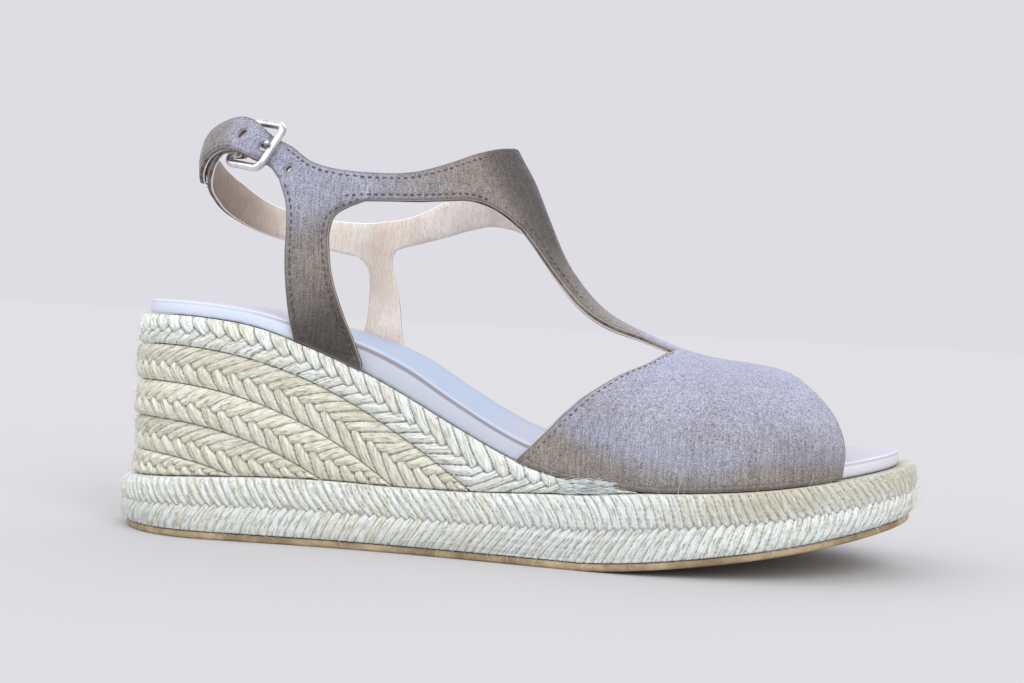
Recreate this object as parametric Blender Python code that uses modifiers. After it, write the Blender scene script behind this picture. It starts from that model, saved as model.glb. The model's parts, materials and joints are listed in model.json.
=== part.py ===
"""A T-bar wedge espadrille for the right foot, standing empty on its sole.

+X runs to the toe, +Y to the medial side and +Z up. The origin is on the floor, under the
middle of the shoe's box. The sole is a rubber outsole, a rope platform, a wedge of five rope
rows and an insole. The upper is one suede wall: vamp, T-bar, branches round the ankle, two
quarter straps, a heel strap and a punched tab, closed by a wire buckle on the lateral side.

The upper lies on a last. The last is cut by planes: upright planes ahead of a pivot over the
instep, and behind it planes that turn about the pivot until they lie level round the ankle.
A place on the last is (around, plane): around is the angle in that plane, from 0 on the instep
to 180 at the heel, lateral angles negative, and plane is the turn in degrees. A negative plane
is upright and slides ahead by the arc that the same turn would sweep at the instep.
"""

import math

import bmesh
import bpy
import numpy as np
from mathutils import Vector
from mathutils.geometry import delaunay_2d_cdt

# Driving dimensions, in metres
LENGTH = 0.250
BALL_WIDTH = 0.0915
SOLE_HEIGHT = 0.0198
WEDGE_RISE = 0.0512
TOE_SPRING = 0.0165
OUTSOLE_THICKNESS = 0.0022
INSOLE_THICKNESS = 0.0070
REACH = 0.070
WALL = 0.0023
FIT = 0.0003
SEAM = 0.0006
PLATFORM_BULGE = 0.0012
ROW_BULGE = 0.0014
OUTSOLE_SETBACK = 0.0015
WEDGE_SETBACK = 0.0025
INSOLE_SETBACK = 0.0055
FEATHER = 0.0008
STRAP_WIDTH = 0.0104
BUCKLE_WIRE = 0.0023
BUCKLE_SIDE_ROOM = 0.0013
BUCKLE_CORNER = 0.0016
PRONG_WIRE = 0.0014
PRONG_OVERHANG = 0.0012
HOLE_RADIUS = 0.0011
CUT_SPACING = 0.0038
FILL_SPACING = 0.0058
FILL_GAP = 0.55

# Where the sole's parts begin and end, as shares of LENGTH from the heel
HEEL_ROUND = 0.13
TOE_ROUND = 0.24
TOE_POWER = 2.3
SPRING_FROM = 0.589
SPRING_POWER = 1.4
TOE_SWING = 0.016

# Outline of the platform: share of LENGTH, then the lateral and medial halves over BALL_WIDTH
OUTLINE = (
    (0.00, 0.361, 0.361),
    (0.13, 0.361, 0.361),
    (0.30, 0.366, 0.344),
    (0.42, 0.402, 0.350),
    (0.55, 0.462, 0.393),
    (0.66, 0.508, 0.456),
    (0.76, 0.498, 0.492),
    (0.88, 0.450, 0.490),
    (1.00, 0.370, 0.460),
)
# Platform with its outsole: share of LENGTH, height over SOLE_HEIGHT
PLATFORM = (
    (0.000, 0.80),
    (0.129, 0.94),
    (0.259, 1.00),
    (0.379, 0.98),
    (0.469, 1.00),
    (0.549, 1.06),
    (0.649, 1.11),
    (0.729, 1.04),
    (0.819, 0.965),
    (0.899, 0.92),
    (1.000, 0.86),
)
# Wedge over the platform: share of LENGTH, height over WEDGE_RISE
WEDGE = (
    (0.000, 1.000),
    (0.117, 0.945),
    (0.181, 0.891),
    (0.233, 0.809),
    (0.321, 0.650),
    (0.369, 0.543),
    (0.433, 0.379),
    (0.495, 0.221),
    (0.520, 0.164),
    (0.567, 0.090),
    (0.613, 0.047),
    (0.669, 0.000),
    (1.000, 0.000),
)
# Lines between the rope rows: height at the heel over WEDGE_RISE, share of LENGTH where it ends
ROW_LINES = (
    (0.805, 0.461),
    (0.585, 0.365),
    (0.365, 0.277),
    (0.158, 0.169),
)
ROW_LINE_POWER = 2.15
# Insole: share of LENGTH, thickness over INSOLE_THICKNESS
INSOLE = (
    (0.000, 0.66),
    (0.159, 0.64),
    (0.229, 0.77),
    (0.309, 1.15),
    (0.374, 1.30),
    (0.429, 1.14),
    (0.489, 1.00),
    (0.589, 0.88),
    (0.789, 0.70),
    (1.000, 0.63),
)
# Sides of the sole's layers: level from 0 below to 1 on top, setback over the layer's bulge
ROPE_SIDE = ((0.0, 1.0), (0.15, 0.35), (0.5, 0.0), (0.85, 0.35), (1.0, 1.0))
PLATFORM_SIDE = (
    (0.0, 1.0),
    (0.12, 0.30),
    (0.32, 0.0),
    (0.5, 0.28),
    (0.68, 0.0),
    (0.88, 0.30),
    (1.0, 1.0),
)
PLAIN_SIDE = ((0.0, 0.3), (0.3, 0.0), (0.85, 0.0), (1.0, 0.3))

# The last: plane, then instep, middle and heel depth over REACH, swell of the width over the
# insole's, and the power that rounds the instep
LAST = (
    (-40, 1.280, 1.40, 0.60, 1.005, 2.10),
    (-20, 1.075, 1.39, 0.60, 1.005, 2.10),
    (0, 1.020, 1.41, 0.60, 1.005, 2.00),
    (18, 0.978, 1.42, 0.65, 1.020, 1.75),
    (30, 0.972, 1.42, 0.75, 1.020, 1.45),
    (45, 0.932, 1.42, 0.95, 1.030, 1.35),
    (60, 0.889, 1.50, 1.05, 1.055, 1.30),
    (72, 0.890, 1.60, 0.85, 1.070, 1.30),
    (80, 0.928, 1.64, 0.735, 1.030, 1.30),
    (84, 0.955, 1.64, 0.705, 0.880, 1.40),
    (92, 1.010, 1.64, 0.670, 0.500, 1.50),
)
HEEL_POWER = 3.0
PIVOT_SHARE = 0.745
PIVOT_LIFT = 1.563
HEEL_SEAT_SHARE = 0.19

# Vamp: share of the way down each side, rear plane, front plane
VAMP = (
    (0.00, 10.0, -19.5),
    (0.14, 10.5, -20.3),
    (0.26, 12.2, -21.7),
    (0.42, 16.4, -24.6),
    (0.52, 20.5, -26.6),
    (0.65, 24.3, -28.9),
    (0.77, 26.5, -30.4),
    (0.87, 27.7, -31.0),
    (1.00, 29.2, -30.5),
)
# T-bar: plane, half angle round the instep
T_BAR = (
    (4, 24.0),
    (9, 19.0),
    (13, 15.5),
    (18, 14.5),
    (26, 16.0),
    (37, 17.5),
    (47, 15.8),
    (56, 15.5),
    (64, 17.0),
    (76, 19.0),
)
# Lateral belt, branch and tab: around, lower plane, upper plane
LATERAL_BELT = (
    (0, 57.0, 82.6),
    (8, 58.5, 82.2),
    (16, 60.5, 81.3),
    (20, 65.5, 80.8),
    (25, 69.0, 80.1),
    (31, 70.8, 79.4),
    (43, 71.9, 78.5),
    (58, 72.8, 78.1),
    (76, 74.0, 78.7),
    (95, 75.0, 79.9),
    (110, 75.4, 81.5),
    (118, 76.8, 82.9),
    (124, 79.2, 84.0),
    (131, 81.8, 84.9),
    (138, 82.55, 85.8),
    (144, 83.3, 86.8),
    (150, 84.0, 87.5),
    (155, 84.0, 87.5),
    (160, 83.4, 86.9),
    (166, 82.2, 85.8),
    (172, 81.4, 84.6),
)
# Medial belt, branch and heel strap: around, lower plane, upper plane
MEDIAL_BELT = (
    (0, 57.0, 82.6),
    (8, 58.5, 81.8),
    (16, 60.4, 80.4),
    (22, 63.4, 78.9),
    (30, 66.0, 77.3),
    (45, 67.5, 75.2),
    (64, 68.2, 74.1),
    (79, 68.7, 73.7),
    (94, 69.1, 73.9),
    (106, 69.3, 74.4),
    (118, 69.9, 75.4),
    (131, 72.4, 76.8),
    (145, 75.0, 79.2),
    (160, 77.8, 82.0),
    (180, 79.9, 83.9),
    (187, 80.6, 84.4),
    (193, 81.5, 85.1),
    (199, 83.1, 86.1),
    (205, 84.4, 87.0),
)
# Quarter straps: rise, front plane, front around, rear plane, rear around
LATERAL_QUARTER = (
    (0.00, 53.0, 134.5, 60.1, 144.7),
    (0.15, 57.0, 130.8, 62.5, 142.4),
    (0.30, 60.5, 128.0, 65.2, 139.2),
    (0.50, 65.0, 122.8, 69.2, 133.8),
    (0.70, 69.3, 116.0, 73.2, 128.0),
    (0.80, 71.9, 110.8, 75.4, 125.2),
    (0.90, 73.8, 103.0, 77.6, 124.2),
    (1.00, 74.7, 84.0, 80.9, 126.5),
)
MEDIAL_QUARTER = (
    (0.00, 53.8, 131.4, 58.8, 138.3),
    (0.20, 57.3, 124.6, 60.3, 134.0),
    (0.40, 60.8, 117.3, 62.8, 128.0),
    (0.60, 64.3, 111.3, 65.6, 121.8),
    (0.78, 67.3, 106.2, 68.4, 118.2),
    (0.90, 68.9, 100.5, 70.8, 121.5),
    (1.00, 69.6, 94.0, 73.0, 133.0),
)

# Ridge down the middle of the T-bar: its lowest and highest plane, and beside it the angles of
# the lines that keep it round, each with its highest plane
RIDGE_FOOT = 9.0
RIDGE_TOP = 82.0
RIDGE_STEPS = ((3.5, 81.6), (8.0, 80.8))

# Buckle: the angles round the last where its bars and the tab's holes lie
FRONT_BAR = 131.0
REAR_BAR = 152.0
ZONE_END = 164.0
PRONG_HOLE = 135.4
NEAR_HOLE = 122.0
FAR_HOLE = 145.5
PRONG_HOLE_STRETCH = 2.0
REAR_BAR_DEPTH = 0.0032
FRONT_BAR_ROOM = 0.0006
PRONG_HOOK_TURN = 225.0
# Tab: share of the way from the front bar to the rear bar, lift of its face off the last
TAB_LIFT = (
    (-0.05, 0.0),
    (0.03, 0.0),
    (0.11, 0.0003),
    (0.20, 0.0012),
    (0.30, 0.0025),
    (0.44, 0.0037),
    (0.60, 0.0043),
    (0.76, 0.0042),
    (0.90, 0.0039),
    (1.02, 0.0036),
    (1.20, 0.0031),
    (1.45, 0.0028),
    (1.70, 0.0027),
    (2.20, 0.0027),
)
# Prong: share of the way from the rear bar to the front bar, rise over its hook's radius
PRONG_RISE = (
    (0.15, 0.92),
    (0.35, 0.52),
    (0.58, 0.04),
    (0.76, -0.28),
    (0.84, -0.05),
    (0.94, 0.75),
    (1.00, 1.04),
)
STRAP_LINES = 3.0
TAB_LINES = 2.2
FOLD_STEPS = 6
FOLD_TURN = 14.0
FOLD_TAIL = 11.0
FOLD_LAP = 1.0
SLOT_BEFORE = 5.2
SLOT_AFTER = 5.0
SLOT_SLANT = 0.1
SLOT_HALF = PRONG_WIRE / 2 + 4 * FIT
END_STATIONS = 12
LENGTH_STATIONS = 26

COLOURS = {
    "outsole": ((0.46, 0.33, 0.20), 0.70, 0.0),
    "rope": ((0.66, 0.62, 0.49), 0.95, 0.0),
    "insole": ((0.83, 0.78, 0.74), 0.60, 0.0),
    "upper": ((0.29, 0.26, 0.25), 0.92, 0.0),
    "buckle": ((0.80, 0.81, 0.82), 0.25, 1.0),
}


def smooth(rows, x, column=1):
    """A column of a table at x, by cubic pieces that pass through every row."""
    table = np.array(rows, float)
    xs, ys = table[:, 0], table[:, column]
    slopes = np.diff(ys) / np.diff(xs)
    tangents = np.concatenate(
        [slopes[:1], (slopes[:-1] + slopes[1:]) / 2, slopes[-1:]]
    )
    x = np.clip(x, xs[0], xs[-1])
    i = np.clip(np.searchsorted(xs, x, side="right") - 1, 0, len(xs) - 2)
    step = xs[i + 1] - xs[i]
    t = (x - xs[i]) / step
    rise = ys[i + 1] - ys[i]
    start, end = tangents[i] * step, tangents[i + 1] * step
    return ys[i] + t * start + t**2 * (3 * rise - 2 * start - end) + t**3 * (start + end - 2 * rise)


def ease(t):
    """0 to 1 with level ends."""
    t = np.clip(t, 0, 1)
    return t * t * (3 - 2 * t)


def share_of(x):
    return np.clip(np.asarray(x) / LENGTH + 0.5, 0, 1)


def ground(x):
    """Underside of the sole: flat from the heel to the ball, then the toe spring."""
    lift = np.clip((share_of(x) - SPRING_FROM) / (1 - SPRING_FROM), 0, 1)
    return TOE_SPRING * lift**SPRING_POWER


def platform_top(x):
    return ground(x) + SOLE_HEIGHT * smooth(PLATFORM, share_of(x))


def seat(x):
    """Top of the rope, which carries the insole and the upper's edge."""
    return platform_top(x) + WEDGE_RISE * np.maximum(smooth(WEDGE, share_of(x)), 0)


def halves(x, setback):
    """Lateral and medial half widths of the outline at x, drawn in by a setback."""
    s = np.clip((np.asarray(x) + LENGTH / 2 - setback) / (LENGTH - 2 * setback), 0, 1)
    heel = np.sqrt(1 - np.clip(1 - s / HEEL_ROUND, 0, 1) ** 2)
    toe = 1 - np.clip((s - 1 + TOE_ROUND) / TOE_ROUND, 0, 1) ** TOE_POWER
    ends = heel * toe ** (1 / TOE_POWER)
    lateral = (smooth(OUTLINE, s, 1) * BALL_WIDTH - setback) * ends
    medial = (smooth(OUTLINE, s, 2) * BALL_WIDTH - setback) * ends
    swing = TOE_SWING * LENGTH * np.clip((s - 1 + TOE_ROUND) / TOE_ROUND, 0, 1) ** 2
    return lateral - swing, medial + swing


def centring():
    """Shift across the shoe that puts the box's middle over the origin."""
    lateral, medial = halves(np.linspace(-LENGTH / 2, LENGTH / 2, 401), 0)
    return (lateral.max() - medial.max()) / 2


def material(name):
    found = bpy.data.materials.get(name)
    if found:
        return found
    colour, roughness, metallic = COLOURS[name]
    made = bpy.data.materials.new(name)
    made.use_nodes = True
    shader = made.node_tree.nodes["Principled BSDF"]
    shader.inputs["Base Color"].default_value = (*colour, 1)
    shader.inputs["Roughness"].default_value = roughness
    shader.inputs["Metallic"].default_value = metallic
    made.diffuse_color = (*colour, 1)
    return made


def add_object(name, data, finish, collection, root):
    """An object of the shoe, in its collection and under the root."""
    made = bpy.data.objects.new(name, data)
    collection.objects.link(made)
    made.parent = root
    data.materials.append(material(finish))
    return made


def mesh_of(name, points, faces):
    """A closed mesh from points and faces, with doubled points joined."""
    mesh = bpy.data.meshes.new(name)
    mesh.from_pydata([tuple(p) for p in points], [], [tuple(f) for f in faces])
    work = bmesh.new()
    work.from_mesh(mesh)
    bmesh.ops.remove_doubles(work, verts=work.verts, dist=1e-6)
    bmesh.ops.dissolve_degenerate(work, edges=work.edges, dist=1e-7)
    bmesh.ops.triangulate(work, faces=work.faces)
    bmesh.ops.recalc_face_normals(work, faces=work.faces)
    work.to_mesh(mesh)
    work.free()
    mesh.shade_smooth()
    mesh.set_sharp_from_angle(angle=math.radians(40))
    return mesh


def ring_shares(front):
    """Shares from the heel to the front of a layer, closer together at its round ends."""
    t = np.linspace(0, 1, END_STATIONS + round(LENGTH_STATIONS * front))
    round_ends = 0.5 - 0.5 * np.cos(math.pi * t)
    return (0.3 * t + 0.7 * round_ends) * front


def slab(name, lower, upper, side, bulge, setback, front=1.0):
    """A layer of the sole between two heights, inside the outline drawn in by a setback."""
    points = []
    shares = ring_shares(front)
    count = len(shares)
    for level, inward in side:
        inset = setback + inward * bulge
        x = -LENGTH / 2 + inset + shares * (LENGTH - 2 * inset)
        bottom, top = lower(x), upper(x)
        lateral, medial = halves(x, inset)
        z = bottom + level * (top - bottom)
        points += list(zip(x, -lateral, z))
        points += list(zip(x, medial, z))[::-1]
    ring = 2 * count
    faces = []
    for level in range(len(side) - 1):
        for i in range(ring):
            j = (i + 1) % ring
            low, high = level * ring, (level + 1) * ring
            faces.append((low + i, low + j, high + j, high + i))
    last_ring = (len(side) - 1) * ring
    for i in range(count - 1):
        across = (i, i + 1, ring - 2 - i, ring - 1 - i)
        faces.append(across[::-1])
        faces.append(tuple(last_ring + k for k in across))
    return mesh_of(name, points, faces)


def row_line(number, x):
    """Height of the line under a rope row: 0 is the seat itself, 5 the platform."""
    if number == 0:
        return seat(x)
    if number > len(ROW_LINES):
        return platform_top(x)
    height, end = ROW_LINES[number - 1]
    run = np.clip(share_of(x) / end, 0, 1)
    return platform_top(x) + WEDGE_RISE * height * (1 - run**ROW_LINE_POWER)


def row_front(number):
    """Share of LENGTH where a rope row thins out to a feather on the platform."""
    x = np.linspace(-LENGTH / 2, LENGTH / 2, 1001)
    thick = row_line(number, x) - platform_top(x) - FIT
    return float(share_of(x[int(np.argmax(thick < FEATHER))]))


def build_sole(collection, root):
    def add(mesh, finish):
        return add_object(mesh.name, mesh, finish, collection, root)

    def outsole_top(x):
        return ground(x) + OUTSOLE_THICKNESS

    def platform_bottom(x):
        return outsole_top(x) + FIT

    def insole_bottom(x):
        return seat(x) + FIT

    def insole_top(x):
        return insole_bottom(x) + INSOLE_THICKNESS * smooth(INSOLE, share_of(x))

    add(slab("outsole", ground, outsole_top, PLAIN_SIDE, PLATFORM_BULGE, OUTSOLE_SETBACK), "outsole")
    add(slab("platform", platform_bottom, platform_top, PLATFORM_SIDE, PLATFORM_BULGE, 0.0), "rope")
    for number in range(len(ROW_LINES) + 1):

        def bottom(x, line=number + 1):
            return row_line(line, x) + FIT

        def top(x, line=number):
            return row_line(line, x)

        row = slab(
            f"rope_row_{number + 1}",
            bottom,
            top,
            ROPE_SIDE,
            ROW_BULGE,
            WEDGE_SETBACK,
            row_front(number),
        )
        add(row, "rope")
    add(slab("insole", insole_bottom, insole_top, PLAIN_SIDE, PLATFORM_BULGE, INSOLE_SETBACK), "insole")


class Last:
    """The form that the upper lies on."""

    def __init__(self):
        self.pivot_x = PIVOT_SHARE * LENGTH - LENGTH / 2
        self.pivot_z = float(platform_top(self.pivot_x)) + PIVOT_LIFT * REACH
        self.planes = np.arange(LAST[0][0], LAST[-1][0] + 0.5, 0.5)
        self.foot_depth, lateral, medial = self.measure_foot()
        swell = smooth(LAST, self.planes, 4)
        self.lateral, self.medial = lateral * swell, medial * swell

    def direction(self, plane):
        """Start of a plane's axis on the pivot line, and the axis from there to the sole."""
        turn = np.radians(np.maximum(plane, 0))
        ahead = np.radians(np.maximum(-np.asarray(plane), 0)) * REACH
        return self.pivot_x + ahead, -np.sin(turn), -np.cos(turn)

    def measure_foot(self):
        """For each plane, the depth where it meets the rope and the wall's halves there."""
        depth = np.linspace(0.5 * REACH, 6 * REACH, 1501)
        start, dx, dz = (np.reshape(v, (-1, 1)) for v in self.direction(self.planes))
        x = start + depth * dx
        z = self.pivot_z + depth * dz
        heel = (HEEL_SEAT_SHARE - 0.5) * LENGTH
        met = (z <= seat(x) + SEAM) | (x < heel)
        first = np.argmax(met, axis=1)
        x_met = np.take_along_axis(x, first[:, None], axis=1)[:, 0]
        lateral, medial = halves(np.maximum(x_met, heel), INSOLE_SETBACK - FIT - WALL)
        return depth[first], lateral, medial

    def column(self, plane, number):
        return smooth(LAST, plane, number) * REACH

    def spread(self, around, plane):
        """Distance from the middle of a plane's section out to the last."""
        angle = np.radians((np.asarray(around, float) + 180) % 360 - 180)
        width = np.where(
            angle < 0,
            np.interp(plane, self.planes, self.lateral),
            np.interp(plane, self.planes, self.medial),
        )
        front = np.cos(angle) > 0
        instep = self.column(plane, 2) - self.column(plane, 1)
        depth = np.where(front, instep, self.column(plane, 3))
        power = np.where(front, smooth(LAST, plane, 5), HEEL_POWER)
        along, across = np.abs(np.cos(angle)) / depth, np.abs(np.sin(angle)) / width
        return (along**power + across**power) ** (-1 / power)

    def point(self, around, plane):
        """Points of the last's surface, as rows of x, y, z."""
        angle = np.radians(np.asarray(around, float))
        plane = np.asarray(plane, float)
        spread = self.spread(around, plane)
        start, dx, dz = self.direction(plane)
        depth = self.column(plane, 2) - spread * np.cos(angle)
        return np.stack(
            [start + depth * dx, spread * np.sin(angle), self.pivot_z + depth * dz], axis=-1
        )

    def normal(self, around, plane):
        """Unit normals that point out of the last."""
        around, plane = np.asarray(around, float), np.asarray(plane, float)
        step = 0.05
        ringwise = self.point(around + step, plane) - self.point(around - step, plane)
        lengthwise = self.point(around, plane + step) - self.point(around, plane - step)
        out = np.cross(ringwise, lengthwise)
        return out / np.linalg.norm(out, axis=-1, keepdims=True)

    def foot(self, plane, side):
        """Signed angle round the last where a plane meets the rope, on one side."""
        target = float(np.interp(plane, self.planes, self.foot_depth))
        angles = np.linspace(0, 180, 1441)
        planes = np.full_like(angles, plane)
        spread = self.spread(angles * side, planes)
        depth = self.column(planes, 2) - spread * np.cos(np.radians(angles))
        return side * float(np.interp(target, depth, angles))


class BuckleFrame:
    """Axes of the flat wire frame: from its rear bar to its front bar, up its bars, and out."""

    def __init__(self, last):
        self.under = BUCKLE_WIRE / 2 + 2 * FIT
        self.folded = self.under + WALL
        front = self.bar(last, FRONT_BAR, self.under + FRONT_BAR_ROOM)
        rear = self.bar(last, REAR_BAR, -REAR_BAR_DEPTH)
        middle = (FRONT_BAR + REAR_BAR) / 2
        low, high = (smooth(LATERAL_BELT, middle, k) for k in (1, 2))
        climb = last.point(-middle, high) - last.point(-middle, low)
        self.span = float(np.linalg.norm(front - rear))
        self.origin = rear
        self.along = (front - rear) / self.span
        climb = climb - climb.dot(self.along) * self.along
        self.up = climb / np.linalg.norm(climb)
        self.out = np.cross(self.along, self.up)
        if self.out.dot(last.normal(-middle, (low + high) / 2)) < 0:
            self.out = -self.out
        self.per_degree = self.span / (REAR_BAR - FRONT_BAR)

    def bar(self, last, at, outward):
        plane = (smooth(LATERAL_BELT, at, 1) + smooth(LATERAL_BELT, at, 2)) / 2
        return last.point(-at, plane) + last.normal(-at, plane) * outward

    def place(self, along, up, out):
        along, up, out = (np.asarray(v, float)[..., None] for v in (along, up, out))
        return self.origin + along * self.along + up * self.up + out * self.out


def belt_height(rows, around):
    """Middle plane and height in planes of a belt at an angle."""
    low, high = smooth(rows, around, 1), smooth(rows, around, 2)
    return (low + high) / 2, high - low


def lay_belt_end(last, around, plane):
    """The tab: under the front bar, over the rear bar, then on along the heel strap."""
    lift = smooth(TAB_LIFT, (-around - FRONT_BAR) / (REAR_BAR - FRONT_BAR))
    return last.point(around, plane) + last.normal(around, plane) * lift[:, None]


def lay_heel_strap_end(last, frame, around, plane):
    """The heel strap's end: over the rear bar, round it, and back along its own inside."""
    bar_at = 360 - REAR_BAR
    rise = frame.folded - REAR_BAR_DEPTH
    turn = np.clip((around - bar_at) / FOLD_TURN, 0, 1) * math.pi
    tail = np.maximum(around - bar_at - FOLD_TURN, 0)
    reach = np.minimum(around, bar_at) + frame.folded * np.sin(turn) / frame.per_degree - tail
    before = (bar_at - around) / (ZONE_END - REAR_BAR)
    folded = frame.folded * np.cos(turn) - REAR_BAR_DEPTH
    lift = np.where(around > bar_at, folded, rise * (1 - ease(before)))
    return last.point(reach, plane) + last.normal(reach, plane) * lift[:, None]


def lay(last, frame, pattern):
    """Places of flat pattern points, given as (around, plane), in space."""
    around, plane = pattern[:, 0], pattern[:, 1]
    points = last.point(around, plane)
    on_belt = plane > smooth(LATERAL_BELT, -around, 1) - 1
    tab = (around < 1 - FRONT_BAR) & on_belt
    strap = around > 360 - ZONE_END
    if tab.any():
        points[tab] = lay_belt_end(last, around[tab], plane[tab])
    if strap.any():
        points[strap] = lay_heel_strap_end(last, frame, around[strap], plane[strap])
    return points


def pattern_scale():
    """Metres of pattern for a degree round the last and for a degree of plane."""
    return math.radians(1) * REACH * 0.5, math.radians(1) * REACH * 1.45


def spaced(loop, spacing):
    """A closed pattern loop with points set evenly along its edges."""
    wide, tall = pattern_scale()
    result = []
    for i in range(len(loop)):
        a, b = np.array(loop[i]), np.array(loop[(i + 1) % len(loop)])
        length = math.hypot((b[0] - a[0]) * wide, (b[1] - a[1]) * tall)
        count = max(1, round(length / spacing))
        result += [tuple(a + (b - a) * k / count) for k in range(count)]
    return result


def table_line(rows, key, value, samples, side=1.0):
    """A smooth edge through a table: the key column against a value column."""
    table = np.array(rows, float)
    keys = np.linspace(table[0, key], table[-1, key], samples)
    order = table[np.argsort(table[:, key])]
    values = smooth(order[:, [key, value]], keys)
    return [(side * k, v) for k, v in zip(keys, values)]


def belt_loop(rows, side):
    lower = table_line(rows, 0, 1, 44, side)
    upper = table_line(rows, 0, 2, 44, side)
    return lower + upper[::-1]


def heel_strap_loop():
    """The medial belt, and the fold with its tail beyond the rear bar."""
    tail = MEDIAL_BELT[-1]
    end = tail[0] + FOLD_TURN + FOLD_TAIL
    start = tail[0] - FOLD_LAP
    low, high = (smooth(MEDIAL_BELT, start, column) for column in (1, 2))
    fold = [(start, low), (end, tail[1]), (end, tail[2]), (start, high)]
    return belt_loop(MEDIAL_BELT, 1.0), fold


def t_bar_loop():
    right = table_line(T_BAR, 0, 1, 26)
    return [(-half, plane) for plane, half in right] + [(half, plane) for plane, half in right[::-1]]


def quarter_loop(last, rows, side):
    rises = np.linspace(0, 1, 18)
    front = [(side * smooth(rows, r, 2), smooth(rows, r, 1)) for r in rises]
    rear = [(side * smooth(rows, r, 4), smooth(rows, r, 3)) for r in rises]
    planes = np.linspace(rows[0][3], rows[0][1], 7)
    foot = [(last.foot(p, side), p) for p in planes]
    return front[1:] + rear[:0:-1] + foot


def vamp_loop(last):
    """Rear edge from lateral to medial, down to the rope, and back along the front edge."""
    shares = np.linspace(0, 1, 20)

    def edge(column, side):
        limit = last.foot(VAMP[-1][column], side)
        return [(limit * s, float(smooth(VAMP, s, column))) for s in shares]

    def foot_line(side):
        planes = np.linspace(VAMP[-1][1], VAMP[-1][2], 26)
        return [(last.foot(p, side), p) for p in planes][1:-1]

    rear = edge(1, -1)[::-1] + edge(1, 1)[1:]
    front = edge(2, 1)[::-1] + edge(2, -1)[1:]
    return rear + foot_line(1) + front + foot_line(-1)[::-1]


def hole_loop(around, plane, wide_radius, tall_radius, sides=10):
    """An oval in the pattern, its radii in metres."""
    wide, tall = pattern_scale()
    turns = np.linspace(0, 2 * math.pi, sides, endpoint=False)
    return [
        (around + wide_radius / wide * math.cos(t), plane + tall_radius / tall * math.sin(t))
        for t in turns
    ]


def inside(points, loop):
    """Which points lie inside a closed loop."""
    loop = np.array(loop, float)
    x, y = points[:, 0][:, None], points[:, 1][:, None]
    ax, ay = loop[:, 0], loop[:, 1]
    bx, by = np.roll(ax, -1), np.roll(ay, -1)
    spans = (ay > y) != (by > y)
    with np.errstate(divide="ignore", invalid="ignore"):
        crossing = ax + (y - ay) * (bx - ax) / (by - ay)
    return (np.count_nonzero(spans & (x < crossing), axis=1) % 2) == 1


def fill_points(loops, edges_at):
    """Points spread evenly inside the loops, clear of their edges."""
    wide, tall = pattern_scale()
    corner = np.concatenate([np.array(loop) for loop in loops])
    low, high = corner.min(axis=0), corner.max(axis=0)
    step_x, step_y = FILL_SPACING / wide, FILL_SPACING * math.sqrt(3) / 2 / tall
    grid = []
    for row, plane in enumerate(np.arange(low[1], high[1], step_y)):
        shift = step_x / 2 if row % 2 else 0.0
        grid += [(around + shift, plane) for around in np.arange(low[0], high[0], step_x)]
    grid = np.array(grid)
    grid = grid[np.any([inside(grid, loop) for loop in loops], axis=0)]
    scale = np.array([wide, tall])
    gaps = np.linalg.norm((grid[:, None] - edges_at[None]) * scale, axis=2).min(axis=1)
    return grid[gaps > FILL_GAP * FILL_SPACING]


def upper_pattern(last):
    """Flat pattern of the upper: its outlines, cut lines and holes."""
    strap, fold = heel_strap_loop()
    outlines = [
        vamp_loop(last),
        t_bar_loop(),
        belt_loop(LATERAL_BELT, -1.0),
        strap,
        fold,
        quarter_loop(last, LATERAL_QUARTER, -1.0),
        quarter_loop(last, MEDIAL_QUARTER, 1.0),
    ]
    bar_at = 360 - REAR_BAR
    low, high = MEDIAL_BELT[-1][1], MEDIAL_BELT[-1][2]
    creases = [[(0.0, RIDGE_FOOT), (0.0, RIDGE_TOP)]]
    for half, top in RIDGE_STEPS:
        creases += [[(side * half, RIDGE_FOOT), (side * half, top)] for side in (-1, 1)]
    for step in range(FOLD_STEPS + 1):
        at = bar_at + FOLD_TURN * step / FOLD_STEPS
        creases.append([(at, low), (at, high)])
    for at in np.arange(ZONE_END, REAR_BAR, -STRAP_LINES):
        creases.append([(360 - at, smooth(MEDIAL_BELT, 360 - at, k)) for k in (1, 2)])
    for at in np.arange(FRONT_BAR - TAB_LINES, ZONE_END, TAB_LINES):
        creases.append([(-at, smooth(LATERAL_BELT, at, k)) for k in (1, 2)])
    holes = [
        hole_loop(-at, belt_height(LATERAL_BELT, at)[0], wide * HOLE_RADIUS, HOLE_RADIUS)
        for at, wide in ((NEAR_HOLE, 1.0), (PRONG_HOLE, PRONG_HOLE_STRETCH), (FAR_HOLE, 1.0))
    ]
    tall = STRAP_WIDTH / (high - low)
    middle, half = (low + high) / 2, SLOT_HALF / tall
    slot = [
        (-SLOT_BEFORE, SLOT_SLANT * SLOT_BEFORE),
        (0, 0),
        (FOLD_TURN, 0),
        (FOLD_TURN + SLOT_AFTER, SLOT_SLANT * SLOT_AFTER),
    ]
    slot_low = [(bar_at + at, middle + slant - half) for at, slant in slot]
    slot_high = [(bar_at + at, middle + slant + half) for at, slant in slot]
    holes.append(slot_low + slot_high[::-1])
    return outlines, creases, holes


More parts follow.
